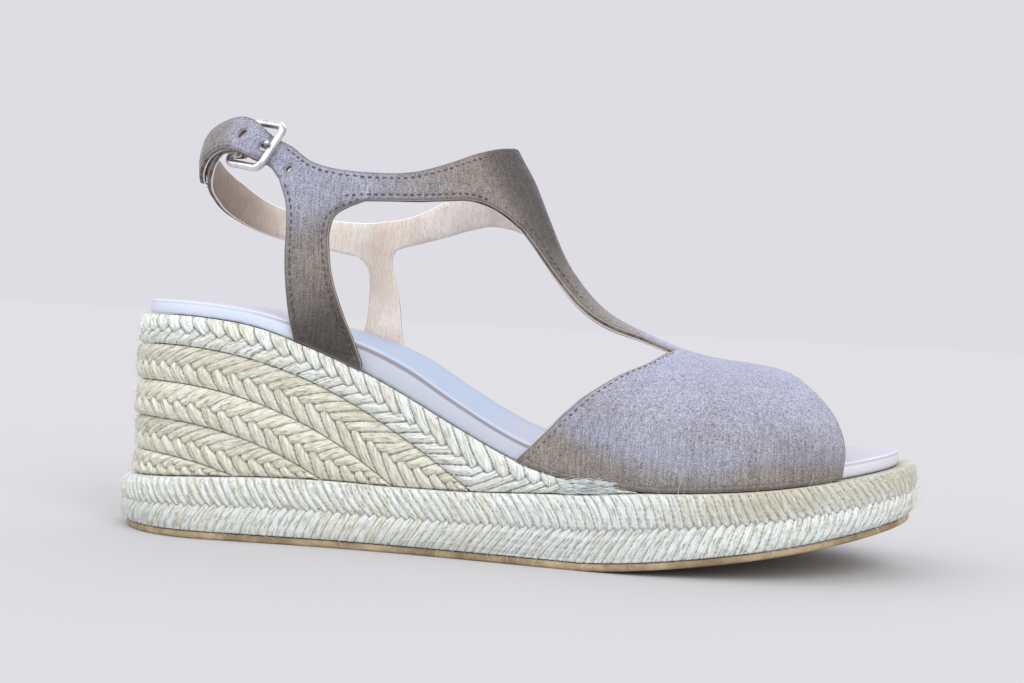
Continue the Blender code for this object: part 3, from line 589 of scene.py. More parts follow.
class BuckleFrame:
    """Axes of the flat wire frame: from its rear bar to its front bar, up its bars, and out."""

    def __init__(self, last):
        self.under = BUCKLE_WIRE / 2 + 2 * FIT
        self.folded = self.under + WALL
        front = self.bar(last, FRONT_BAR, self.under + FRONT_BAR_ROOM)
        rear = self.bar(last, REAR_BAR, -REAR_BAR_DEPTH)
        middle = (FRONT_BAR + REAR_BAR) / 2
        low, high = (smooth(LATERAL_BELT, middle, k) for k in (1, 2))
        climb = last.point(-middle, high) - last.point(-middle, low)
        self.span = float(np.linalg.norm(front - rear))
        self.origin = rear
        self.along = (front - rear) / self.span
        climb = climb - climb.dot(self.along) * self.along
        self.up = climb / np.linalg.norm(climb)
        self.out = np.cross(self.along, self.up)
        if self.out.dot(last.normal(-middle, (low + high) / 2)) < 0:
            self.out = -self.out
        self.per_degree = self.span / (REAR_BAR - FRONT_BAR)

    def bar(self, last, at, outward):
        plane = (smooth(LATERAL_BELT, at, 1) + smooth(LATERAL_BELT, at, 2)) / 2
        return last.point(-at, plane) + last.normal(-at, plane) * outward

    def place(self, along, up, out):
        along, up, out = (np.asarray(v, float)[..., None] for v in (along, up, out))
        return self.origin + along * self.along + up * self.up + out * self.out


def belt_height(rows, around):
    """Middle plane and height in planes of a belt at an angle."""
    low, high = smooth(rows, around, 1), smooth(rows, around, 2)
    return (low + high) / 2, high - low


def lay_belt_end(last, around, plane):
    """The tab: under the front bar, over the rear bar, then on along the heel strap."""
    lift = smooth(TAB_LIFT, (-around - FRONT_BAR) / (REAR_BAR - FRONT_BAR))
    return last.point(around, plane) + last.normal(around, plane) * lift[:, None]


def lay_heel_strap_end(last, frame, around, plane):
    """The heel strap's end: over the rear bar, round it, and back along its own inside."""
    bar_at = 360 - REAR_BAR
    rise = frame.folded - REAR_BAR_DEPTH
    turn = np.clip((around - bar_at) / FOLD_TURN, 0, 1) * math.pi
    tail = np.maximum(around - bar_at - FOLD_TURN, 0)
    reach = np.minimum(around, bar_at) + frame.folded * np.sin(turn) / frame.per_degree - tail
    before = (bar_at - around) / (ZONE_END - REAR_BAR)
    folded = frame.folded * np.cos(turn) - REAR_BAR_DEPTH
    lift = np.where(around > bar_at, folded, rise * (1 - ease(before)))
    return last.point(reach, plane) + last.normal(reach, plane) * lift[:, None]


def lay(last, frame, pattern):
    """Places of flat pattern points, given as (around, plane), in space."""
    around, plane = pattern[:, 0], pattern[:, 1]
    points = last.point(around, plane)
    on_belt = plane > smooth(LATERAL_BELT, -around, 1) - 1
    tab = (around < 1 - FRONT_BAR) & on_belt
    strap = around > 360 - ZONE_END
    if tab.any():
        points[tab] = lay_belt_end(last, around[tab], plane[tab])
    if strap.any():
        points[strap] = lay_heel_strap_end(last, frame, around[strap], plane[strap])
    return points


def pattern_scale():
    """Metres of pattern for a degree round the last and for a degree of plane."""
    return math.radians(1) * REACH * 0.5, math.radians(1) * REACH * 1.45


def spaced(loop, spacing):
    """A closed pattern loop with points set evenly along each of its edges."""
    start = np.array(loop, float)
    edge = np.roll(start, -1, axis=0) - start
    length = np.linalg.norm(edge * np.array(pattern_scale()), axis=1)
    counts = np.maximum(1, np.round(length / spacing)).astype(int)
    which = np.repeat(np.arange(len(start)), counts)
    step = np.arange(len(which)) - np.repeat(np.cumsum(counts) - counts, counts)
    return start[which] + edge[which] * (step / counts[which])[:, None]


def table_line(rows, key, value, samples, side=1.0):
    """A smooth edge through a table: the key column against a value column."""
    table = np.array(rows, float)
    keys = np.linspace(table[0, key], table[-1, key], samples)
    order = table[np.argsort(table[:, key])]
    values = smooth(order[:, [key, value]], keys)
    return [(side * k, v) for k, v in zip(keys, values)]


def belt_loop(rows, side):
    lower = table_line(rows, 0, 1, 170, side)
    upper = table_line(rows, 0, 2, 170, side)
    return lower + upper[::-1]


def heel_strap_loop():
    """The medial belt, and the fold with its tail beyond the rear bar."""
    tail = MEDIAL_BELT[-1]
    end = tail[0] + FOLD_TURN + FOLD_TAIL
    start = tail[0] - FOLD_LAP
    low, high = (smooth(MEDIAL_BELT, start, column) for column in (1, 2))
    fold = [(start, low), (end, tail[1]), (end, tail[2]), (start, high)]
    return belt_loop(MEDIAL_BELT, 1.0), fold


def t_bar_loop():
    right = table_line(T_BAR, 0, 1, 80)
    left = [(-half, plane) for plane, half in right]
    return left + [(half, plane) for plane, half in right[::-1]]


def quarter_edges(rows, rises, side):
    """Front and rear edge of a quarter strap, at shares of its rise."""
    front = [(side * smooth(rows, r, 2), smooth(rows, r, 1)) for r in rises]
    rear = [(side * smooth(rows, r, 4), smooth(rows, r, 3)) for r in rises]
    return front, rear


def quarter_loop(last, rows, side):
    front, rear = quarter_edges(rows, np.linspace(0, 1, 50), side)
    planes = np.linspace(rows[0][3], rows[0][1], 14)
    foot = [(last.foot(p, side), p) for p in planes]
    return front[1:] + rear[:0:-1] + foot


def vamp_loop(last):
    """Rear edge from lateral to medial, down to the rope, and back along the front edge."""
    shares = np.linspace(0, 1, 60)

    def edge(column, side):
        limit = last.foot(VAMP[-1][column], side)
        return [(limit * s, float(smooth(VAMP, s, column))) for s in shares]

    def foot_line(side):
        planes = np.linspace(VAMP[-1][1], VAMP[-1][2], 70)
        return [(last.foot(p, side), p) for p in planes][1:-1]

    rear = edge(1, -1)[::-1] + edge(1, 1)[1:]
    front = edge(2, 1)[::-1] + edge(2, -1)[1:]
    return rear + foot_line(1) + front + foot_line(-1)[::-1]


def hole_loop(around, plane, wide_radius, tall_radius):
    """An oval in the pattern, its radii in metres."""
    wide, tall = pattern_scale()
    turns = np.linspace(0, 2 * math.pi, HOLE_SIDES, endpoint=False)
    return [
        (around + wide_radius / wide * math.cos(t), plane + tall_radius / tall * math.sin(t))
        for t in turns
    ]


def inside(points, loop):
    """Which points lie inside a closed loop."""
    loop = np.array(loop, float)
    x, y = points[:, 0][:, None], points[:, 1][:, None]
    ax, ay = loop[:, 0], loop[:, 1]
    bx, by = np.roll(ax, -1), np.roll(ay, -1)
    spans = (ay > y) != (by > y)
    with np.errstate(divide="ignore", invalid="ignore"):
        crossing = ax + (y - ay) * (bx - ax) / (by - ay)
    return (np.count_nonzero(spans & (x < crossing), axis=1) % 2) == 1


def fill_points(loops, edges_at):
    """Points spread evenly inside the loops, in offset rows, clear of their edges."""
    scale = np.array(pattern_scale())
    corner = np.concatenate(loops)
    low, high = corner.min(axis=0), corner.max(axis=0)
    step_x, step_y = FILL_SPACING / scale[0], FILL_SPACING * math.sqrt(3) / 2 / scale[1]
    rows = np.arange(int((high[1] - low[1]) / step_y))
    columns = np.arange(int((high[0] - low[0]) / step_x))
    row, column = np.meshgrid(rows, columns, indexing="ij")
    across = low[0] + step_x * (column + row % 2 / 2)
    grid = np.stack([across, low[1] + step_y * row], axis=-1).reshape(-1, 2)
    grid = grid[np.any([inside(grid, loop) for loop in loops], axis=0)]
    gaps = [
        np.linalg.norm((block[:, None] - edges_at[None]) * scale, axis=2).min(axis=1)
        for block in np.array_split(grid, 32)
    ]
    return grid[np.concatenate(gaps) > FILL_GAP * FILL_SPACING]


def upper_pattern(last):
    """Flat pattern of the upper: its outlines, cut lines and holes."""
    strap, fold = heel_strap_loop()
    outlines = [
        vamp_loop(last),
        t_bar_loop(),
        belt_loop(LATERAL_BELT, -1.0),
        strap,
        fold,
        quarter_loop(last, LATERAL_QUARTER, -1.0),
        quarter_loop(last, MEDIAL_QUARTER, 1.0),
    ]
    bar_at = 360 - REAR_BAR
    low, high = MEDIAL_BELT[-1][1], MEDIAL_BELT[-1][2]
    creases = [[(0.0, RIDGE_FOOT), (0.0, RIDGE_TOP)]]
    for half, top in RIDGE_STEPS:
        creases += [[(side * half, RIDGE_FOOT), (side * half, top)] for side in (-1, 1)]
    for step in range(FOLD_STEPS + 1):
        at = bar_at + FOLD_TURN * step / FOLD_STEPS
        creases.append([(at, low), (at, high)])
    for at in np.arange(ZONE_END, REAR_BAR, -STRAP_LINES):
        creases.append([(360 - at, smooth(MEDIAL_BELT, 360 - at, k)) for k in (1, 2)])
    for at in np.arange(FRONT_BAR - TAB_LINES, ZONE_END, TAB_LINES):
        creases.append([(-at, smooth(LATERAL_BELT, at, k)) for k in (1, 2)])
    holes = [
        hole_loop(-at, belt_height(LATERAL_BELT, at)[0], wide * HOLE_RADIUS, HOLE_RADIUS)
        for at, wide in ((NEAR_HOLE, 1.0), (PRONG_HOLE, PRONG_HOLE_STRETCH), (FAR_HOLE, 1.0))
    ]
    tall = STRAP_WIDTH / (high - low)
    middle, half = (low + high) / 2, SLOT_HALF / tall
    slot = [
        (-SLOT_BEFORE, SLOT_SLANT * SLOT_BEFORE),
        (0, 0),
        (FOLD_TURN, 0),
        (FOLD_TURN + SLOT_AFTER, SLOT_SLANT * SLOT_AFTER),
    ]
    slot_low = [(bar_at + at, middle + slant - half) for at, slant in slot]
    slot_high = [(bar_at + at, middle + slant + half) for at, slant in slot]
    holes.append(slot_low + slot_high[::-1])
    return outlines, creases, holes


def triangulate(outlines, creases, holes):
    """Triangles of the pattern inside its outlines and outside its holes."""
    loops = [spaced(loop, CUT_SPACING) for loop in outlines]
    cuts = [spaced(loop, CUT_SPACING / 2) for loop in holes]
    scale = np.array(pattern_scale())
    lines = []
    for start, end in creases:
        length = np.linalg.norm((np.array(end) - np.array(start)) * scale)
        lines.append(np.linspace(start, end, 1 + max(1, round(length / CUT_SPACING))))
    parts = loops + cuts + lines
    firsts = np.cumsum([0] + [len(part) for part in parts])
    faces = [list(range(firsts[i], firsts[i + 1])) for i in range(len(loops))]
    edges = []
    for i in range(len(loops), len(parts)):
        ids = np.arange(firsts[i], firsts[i + 1])
        closed = i < len(loops) + len(cuts)
        ahead = np.roll(ids, -1) if closed else ids[1:]
        edges += np.stack([ids[: len(ahead)], ahead], axis=1).tolist()
    verts = np.concatenate(parts)
    verts = np.concatenate([verts, fill_points(loops, verts)])
    flat = [Vector(v) for v in verts * scale]
    points, _, found, *_ = delaunay_2d_cdt(flat, edges, faces, 1, 1e-6)
    pattern = np.array(points)[:, :2] / scale
    found = np.array(found)
    middles = pattern[found].mean(axis=1)
    gone = np.any([inside(middles, cut) for cut in holes], axis=0)
    return pattern, found[~gone]


def rounded_rectangle(half_long, half_tall, corner, steps):
    """Corner arcs of a rectangle about its middle."""
    corner = min(corner, half_long * 0.95, half_tall * 0.95)
    points = []
    for quarter in range(4):
        angle = quarter * math.pi / 2
        sx = 1 if quarter in (0, 3) else -1
        sy = 1 if quarter in (0, 1) else -1
        for step in range(steps + 1):
            turn = angle + step / steps * math.pi / 2
            points.append(
                (
                    sx * (half_long - corner) + corner * math.cos(turn),
                    sy * (half_tall - corner) + corner * math.sin(turn),
                )
            )
    return points


class Value:
    """A number or colour on its way through a finish; arithmetic on it adds Math nodes."""

    def __init__(self, finish, socket):
        self.finish, self.socket = finish, socket

    def math(self, operation, first, second):
        settings = {"operation": operation}
        return self.finish.node("ShaderNodeMath", settings, {0: first, 1: second})

    def __add__(self, other):
        return self.math("ADD", self, other)

    def __sub__(self, other):
        return self.math("SUBTRACT", self, other)

    def __rsub__(self, other):
        return self.math("SUBTRACT", other, self)

    def __mul__(self, other):
        return self.math("MULTIPLY", self, other)

    __radd__, __rmul__ = __add__, __mul__

    def between(self, low, high, start=0.0, end=1.0):
        """This value eased from start, at low, to end, at high."""
        settings = {"interpolation_type": "SMOOTHSTEP", "clamp": True}
        sockets = {"Value": self, "From Min": low, "From Max": high, "To Min": start, "To Max": end}
        return self.finish.node("ShaderNodeMapRange", settings, sockets)


class Finish:
    """A material. Constants go straight onto the shader's own sockets."""

    def __init__(self, name, **constants):
        self.material = bpy.data.materials.new(name)
        self.material.use_nodes = True
        self.tree = self.material.node_tree
        self.shader = self.tree.nodes["Principled BSDF"]
        for socket, value in constants.items():
            self.shader.inputs[socket.replace("_", " ")].default_value = value

    def node(self, kind, settings, sockets, output=0):
        """A node of a kind with its settings and its sockets' values or links, as one output."""
        made = self.tree.nodes.new(kind)
        for key, value in settings.items():
            setattr(made, key, value)
        for key, value in sockets.items():
            self.join(value, made.inputs[key])
        return Value(self, made.outputs[output])

    def join(self, value, socket):
        if isinstance(value, Value):
            self.tree.links.new(value.socket, socket)
        else:
            socket.default_value = value

    def set(self, **values):
        for socket, value in values.items():
            self.join(value, self.shader.inputs[socket.replace("_", " ")])
        return self.material

    def place(self):
        return self.node("ShaderNodeTexCoord", {}, {}, "Object")

    def attribute(self, name, output="Fac"):
        return self.node("ShaderNodeAttribute", {"attribute_name": name}, {}, output)

    def along(self, place):
        """The part of a place that runs along the shoe."""
        return self.node("ShaderNodeSeparateXYZ", {}, {0: place})

    def stretched(self, where, scale):
        return self.node("ShaderNodeMapping", {}, {"Vector": where, "Scale": scale})

    def noise(self, where, scale, detail=2.0, roughness=0.5, distortion=0.0):
        sockets = {
            "Vector": where,
            "Scale": scale,
            "Detail": detail,
            "Roughness": roughness,
            "Distortion": distortion,
        }
        return self.node("ShaderNodeTexNoise", {}, sockets)

    def mix(self, share, first, second, blend="MIX"):
        settings = {"data_type": "RGBA", "blend_type": blend}
        return self.node("ShaderNodeMix", settings, {0: share, 6: first, 7: second}, 2)

    def layered(self, base, *layers):
        """A base colour with other colours over it, each by its own share."""
        for share, over in layers:
            base = self.mix(share, base, over)
        return base

    def bump(self, height, distance, strength, normal=None):
        sockets = {"Height": height, "Distance": distance, "Strength": strength}
        if normal is not None:
            sockets["Normal"] = normal
        return self.node("ShaderNodeBump", {}, sockets)


def suede_finish():
    """Napped suede: dark brown, taupe or lilac by zone, with speckle, cloudy wear and streaks.
    The same colours also paint light: a sky sheen on top of the vamp, and shade at the vamp's foot
    and low on the quarter straps.

    Its edges are darkened, partly by edge paint and partly by painted shade, and a shallow
    trough runs along them.
    """
    made = Finish(
        "suede",
        Roughness=0.93,
        Sheen_Weight=0.35,
        Sheen_Roughness=0.45,
        Sheen_Tint=SUEDE_SHEEN,
        Specular_IOR_Level=0.25,
    )
    place = made.place()
    tone_and_shading = made.attribute("tone_and_shading")
    speckle = made.noise(place, 3100.0, 2.0, 0.7)
    grain = made.noise(place, 620.0, 2.0, 0.6)
    cloud = made.noise(place, 38.0, 3.0, 0.6, 0.4)
    streak = made.noise(made.stretched(place, (1500.0, 1500.0, 120.0)), 1.0, 2.0, 0.6)
    brown = made.mix(cloud.between(0.35, 0.65), SUEDE_BROWN_DARK, SUEDE_BROWN)
    lilac = made.mix(cloud.between(0.3, 0.7), SUEDE_LILAC_DARK, SUEDE_LILAC)
    # Painted light in this mix: lilac for the sky sheen on top of the vamp, dark brown for the
    # shade at the vamp's foot and low on the quarter straps
    base = made.mix(tone_and_shading.between(0.0, 1.0), brown, lilac)
    base = made.mix(tone_and_shading.between(-1.0, 0.0, 1.0, 0.0), base, SUEDE_DARK_AND_SHADE)
    nap = speckle.between(0.36, 0.64) * 0.62 + grain.between(0.3, 0.7) * 0.12
    nap = nap + streak.between(0.3, 0.7) * 0.26
    shaded = made.mix(1.0, base, made.mix(nap, NAP_SHADE, WHITE), "MULTIPLY")
    # Darker near the cut edges: partly edge paint, partly painted shade along them
    near = made.attribute("edge")
    base = made.mix(near.between(0.1, 0.9, 0.55, 0.0), shaded, SUEDE_EDGE_PAINT_AND_SHADE)
    normal = made.bump(speckle * 0.6 + grain * 0.5 + streak * 0.3, 0.00035, 0.8)
    trough = near.between(0.8, 1.4, 1.0, 0.0) + near.between(1.4, 2.0, 0.0, 1.0)
    normal = made.bump(trough, 0.00025, 0.5, normal)
    return made.set(Base_Color=base, Normal=normal)


def lining_finish():
    """Pale lining leather: fine creases across the straps, warmer clouds, painted shade towards the
    heel.
    """
    made = Finish("lining_leather", Roughness=0.62, Specular_IOR_Level=0.35)
    place = made.place()
    crease = made.noise(made.stretched(place, (1900.0, 1900.0, 230.0)), 1.0, 3.0, 0.65, 0.5)
    pore = made.noise(place, 1400.0, 2.0, 0.5)
    cloud = made.noise(place, 45.0, 3.0, 0.6)
    base = made.mix(cloud.between(0.38, 0.60), LINING, LINING_PINK)
    along = made.along(place)
    # Painted shade inside the heel, deepest at its rear end
    heel_shade = along.between(-0.099, -0.082, 0.5, 0.0) + along.between(-0.056, -0.044, 0.26, 0.0)
    base = made.layered(
        base,
        (heel_shade, LINING_HEEL_SHADE),
        (crease.between(0.46, 0.66, 0.0, 0.42), LINING_CREASE),
        (pore.between(0.6, 0.75, 0.0, 0.25), LINING_CREASE),
    )
    return made.set(Base_Color=base, Normal=made.bump(crease + pore * 0.3, 0.0006, 0.7))


def edge_finish():
    """Cut edge of a strap: painted dark in the middle, with the lining's pale line inside."""
    made = Finish("painted_edge", Roughness=0.7)
    depth = made.attribute("depth")
    place = made.place()
    patch = made.noise(place, 160.0, 3.0, 0.6)
    paint = made.mix(patch.between(0.35, 0.65), EDGE_PAINT, EDGE_WORN)
    base = made.mix(depth.between(0.0, 0.18), SUEDE_BROWN, paint)
    base = made.mix(depth.between(0.66, 0.78), base, LINING)
    normal = made.bump(patch + made.noise(place, 1300.0) * 0.5, 0.0003, 0.5)
    return made.set(Base_Color=base, Normal=normal)


def rope_finish(name, pale, deep):
    """Braided jute: fibres along each strand, lighter and darker partly as painted highlights and
    shadows, strands of slightly different straw, and painted shade in the valleys.
    """
    made = Finish(
        name, Roughness=0.9, Sheen_Weight=0.25, Sheen_Roughness=0.6, Specular_IOR_Level=0.2
    )
    strand = made.attribute("strand", "Vector")
    fibre = made.noise(made.stretched(strand, (2400.0, 240.0, 1.0)), 1.0, 3.0, 0.65)
    hair = made.noise(made.stretched(strand, (7200.0, 420.0, 1.0)), 1.0, 2.0, 0.6)
    tint = made.noise(made.stretched(strand, (0.0, 0.0, 1.0)), 0.73, 0.0)
    cloud = made.noise(made.place(), 30.0, 3.0, 0.6)
    base = made.mix(tint.between(0.3, 0.7), pale, deep)
    base = made.layered(
        base,
        (cloud.between(0.42, 0.62, 0.0, 0.7), pale),
        (made.attribute("golden") * cloud.between(0.3, 0.6, 1.0, 0.65), ROPE_GOLD),
        # Lighter and darker fibres: partly the jute's own colour, partly painted highlights and
        # shadows along the fibres
        (fibre.between(0.5, 0.64, 0.0, 0.9), ROPE_SHADE),
        (fibre.between(0.30, 0.44, 0.8, 0.0), ROPE_LIGHT),
        (hair.between(0.62, 0.75, 0.0, 0.5), ROPE_RUST),
        # Painted shade in the valleys between strands and where their ends tuck under
        (made.attribute("valley_shade").between(0.4, 0.95, 0.0, 0.9), ROPE_VALLEY_SHADE),
    )
    normal = made.bump(hair, 0.0003, 0.6, made.bump(fibre, 0.0007, 0.7))
    return made.set(Base_Color=base, Normal=normal)


def hair_finish():
    """Loose jute fibres, pale to tan."""
    made = Finish("loose_fibre", Roughness=0.85)
    return made.set(Base_Color=made.mix(made.noise(made.place(), 120.0), ROPE_LIGHT, FIBRE_TAN))


def tuft_finish():
    """The bleached fibres of the cut rope end."""
    made = Finish("bleached_fibre", Roughness=0.85)
    tint = made.noise(made.place(), 300.0).between(0.35, 0.65)
    return made.set(Base_Color=made.mix(tint, TUFT_LIGHT, TUFT_SHADE))


def insole_finish():
    """Pale leather cover of the insole: fine grain, scratches and a line under its top edge.

    It is greyer along the waist with painted shade, where the line is also darker, and warmer at
    the toe. Its top face is darker with painted shade, and a painted blue sky reflection lies on
    the part of it that the sky reaches.
    """
    made = Finish("insole_leather", Roughness=0.55, Specular_IOR_Level=0.4)
    place = made.place()
    rim = made.attribute("rim")
    grain = made.node("ShaderNodeTexVoronoi", {}, {"Vector": place, "Scale": 900.0})
    cloud = made.noise(place, 35.0, 3.0, 0.6)
    base = made.mix(cloud.between(0.35, 0.65), INSOLE_PALE, INSOLE_PINK)
    scratch = made.noise(made.stretched(place, (40.0, 500.0, 500.0)), 1.0, 3.0, 0.6)
    base = made.mix(scratch.between(0.62, 0.75, 0.0, 0.35), base, INSOLE_SHADE)
    along = made.along(place)
    # Painted shade along the waist
    grey = along.between(-0.075, -0.045, 0.0, 0.75) - along.between(0.01, 0.045, 0.0, 0.75)
    base = made.mix(grey, base, INSOLE_WAIST_SHADE)
    base = made.mix(along.between(0.07, 0.09, 0.0, 0.7), base, INSOLE_TOE)
    waist = along.between(-0.09, -0.05) - along.between(0.0, 0.05, 0.0, 0.7)
    line = (rim.between(0.72, 0.80) - rim.between(0.86, 0.93)) * (0.3 + waist * 0.7)
    base = made.mix(line * 0.75, base, INSOLE_LINE)
    # Painted blue sky reflection on part of the top face at the waist
    sky_reflection = along.between(-0.075, -0.045) - along.between(-0.015, 0.02)
    # The top face, darkened with painted shade
    face = made.mix(sky_reflection, INSOLE_TOP_SHADE, INSOLE_SKY_REFLECTION)
    base = made.mix(rim.between(0.93, 0.99, 0.0, 0.8), base, face)
    normal = made.bump(line, 0.0003, 0.6, made.bump(grain, 0.0002, 0.35))
    return made.set(Base_Color=base, Normal=normal)


def outsole_finish():
    """Tan crepe rubber with pits and scuffs."""
    made = Finish("crepe_rubber", Roughness=0.8)
    place = made.place()
    cloud = made.noise(place, 70.0, 4.0, 0.65)
    pit = made.noise(place, 700.0, 3.0, 0.6)
    base = made.mix(cloud.between(0.35, 0.65), OUTSOLE_DARK, OUTSOLE_TAN)
    base = made.mix(pit.between(0.58, 0.72, 0.0, 0.5), base, OUTSOLE_DARK)
    return made.set(Base_Color=base, Normal=made.bump(pit + cloud, 0.0006, 0.7))


def nickel_finish():
    """Polished nickel with fine scratches and a duller film in patches."""
    made = Finish("nickel", Metallic=1.0)
    place = made.place()
    film = made.noise(place, 260.0, 3.0, 0.6)
    scratch = made.noise(made.stretched(place, (300.0, 4000.0, 4000.0)), 1.0, 2.0, 0.6)
    base = made.mix(film.between(0.35, 0.7), NICKEL, NICKEL_FILM)
    rough = film.between(0.3, 0.7, 0.14, 0.34)
    return made.set(Base_Color=base, Roughness=rough, Normal=made.bump(scratch, 0.0001, 0.25))


def thread_finish(name, dark, light):
    """Twisted thread, darker in its twist."""
    made = Finish(name, Roughness=0.7)
    twist = made.noise(made.place(), 2600.0, 2.0, 0.6)
    base = made.mix(twist.between(0.35, 0.65), dark, light)
    return made.set(Base_Color=base, Normal=made.bump(twist, 0.0001, 0.5))


def outward(points, faces):
    """The faces, turned over where the volume that they close comes out negative."""
    first, *others = (points[faces[:, k]] for k in range(faces.shape[1]))
    volume = sum(np.einsum("ij,ij->", first, np.cross(a, b)) for a, b in zip(others, others[1:]))
    return faces if volume > 0 else faces[:, ::-1]


def shown(name, data):
    """An object with this data, in the scene."""
    made = bpy.data.objects.new(name, data)
    bpy.context.scene.collection.objects.link(made)
    return made


def piece(name, points, faces, finishes, replaced=(), indices=None, attributes=None):
    """A smooth mesh from arrays of points and of faces, riding on the shoe."""
    mesh = bpy.data.meshes.new(name)
    points = points.reshape(-1, 3)
    faces = outward(points, faces)
    mesh.vertices.add(len(points))
    mesh.vertices.foreach_set("co", (points + SHIFT).astype(np.float32).ravel())
    mesh.loops.add(faces.size)
    mesh.loops.foreach_set("vertex_index", faces.astype(np.int32).ravel())
    mesh.polygons.add(len(faces))
    starts = np.arange(0, faces.size, faces.shape[1], dtype=np.int32)
    mesh.polygons.foreach_set("loop_start", starts)
    mesh.polygons.foreach_set("use_smooth", np.ones(len(faces), bool))
    for finish in finishes:
        mesh.materials.append(finish)
    if indices is not None:
        mesh.polygons.foreach_set("material_index", indices.astype(np.int32))
    mesh.update(calc_edges=True)
    for label, values in (attributes or {}).items():
        many = values.size > len(points)
        kind, field = ("FLOAT_VECTOR", "vector") if many else ("FLOAT", "value")
        made = mesh.attributes.new(label, kind, "POINT")
        made.data.foreach_set(field, values.astype(np.float32).ravel())
    mesh.validate(clean_customdata=False)
    made = shown(name, mesh)
    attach(made, "root")
    if replaced:
        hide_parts(*replaced)


def grid_faces(rows, columns, closed):
    """Four-cornered faces of closed rows of points, which may also close on the first row."""
    i, j = np.meshgrid(np.arange(rows if closed else rows - 1), np.arange(columns), indexing="ij")
    ahead, beside = (i + 1) % rows, (j + 1) % columns
    corners = (
        i * columns + j,
        ahead * columns + j,
        ahead * columns + beside,
        i * columns + beside,
    )
    return np.stack(corners, axis=-1).reshape(-1, 4)


def capped_tubes(rows, sides, count=1):
    """Triangles of tubes of points, stored ring by ring and tube by tube, with fans at the ends."""
    wall = grid_faces(rows, sides, False)
    near = np.array([[0, k, k + 1] for k in range(1, sides - 1)])
    far = near[:, ::-1] + (rows - 1) * sides
    one = np.concatenate([wall[:, :3], wall[:, [0, 2, 3]], near, far])
    return (one[None] + rows * sides * np.arange(count)[:, None, None]).reshape(-1, 3)


def unit(vectors):
    return vectors / np.maximum(np.linalg.norm(vectors, axis=-1, keepdims=True), 1e-12)


def band_path(front, setback):
    """Stations evenly along the outline, from the lateral front round the heel to the medial one.

    Each has a share from the heel, a side and a run in metres. With front 1 the path closes at
    the toe.
    """
    t = np.linspace(0, 1, 4001)
    if front == 1:
        share = (1 - np.cos(math.pi * t)) / 2
    else:
        share = (1 - np.cos(math.pi / 2 * t)) * front
    x = along_at(share, setback)
    lateral, medial = halves(x, setback)
    shares = np.concatenate([share[::-1], share[1:]])
    across = np.concatenate([-lateral[::-1], medial[1:]])
    along = np.concatenate([x[::-1], x[1:]])
    run = np.concatenate([[0], np.cumsum(np.hypot(np.diff(along), np.diff(across)))])
    at = np.linspace(0, run[-1], int(run[-1] / ROPE_STEP), endpoint=front != 1)
    index = np.arange(len(run))
    place = np.interp(at, run, index)
    sides = np.where(place < len(share) - 1, -1.0, 1.0)
    return np.interp(place, index, shares), sides, at


def braid(run, height, pitch, slopes, middle):
    """Depth of a braid's strands at a run and height, with its strand coordinates and a mask of
    painted shade in its valleys.

    Over the middle the strands slope one way and under it the other. Each is round across, and its
    end tucks under the next at the middle, which zigzags with the pitch.
    """
    zigzag = middle + ZIGZAG * pitch * (2 * np.abs((run / pitch) % 1 - 0.5) - 0.5)
    above = height > zigzag
    slope = np.where(above, *slopes)
    turn = (run - slope * (height - middle)) / pitch + np.where(above, 0.0, 0.5)
    share = turn % 1 - 0.5
    rounded = np.sqrt(np.clip(1 - (2 * share) ** 2, 0, 1)) ** STRAND_POWER
    tuck = np.clip(np.abs(height - zigzag) / (TUCK_RUN * pitch), 0, 1)
    plies = np.cos(2 * math.pi * PLIES * share)
    deep = STRAND_DEPTH * pitch / ROW_PITCH
    raised = TUCK_HEIGHT + (1 - TUCK_HEIGHT) * tuck
    depth = deep * (rounded - 0.75) * raised + PLY_DEPTH * plies * rounded
    depth -= TUCK_SINK * deep * (1 - tuck)
    slant = np.sqrt(1 + slope**2)
    along = (height - middle) * slant + np.where(above, 0.0, HALF_STEP)
    number = np.floor(turn)
    places = [share * pitch / slant, along + STRAND_STEP * number, number + SIDE_STEP * above]
    return depth, np.stack(places, axis=-1), 1 - rounded * (0.35 + 0.65 * tuck)


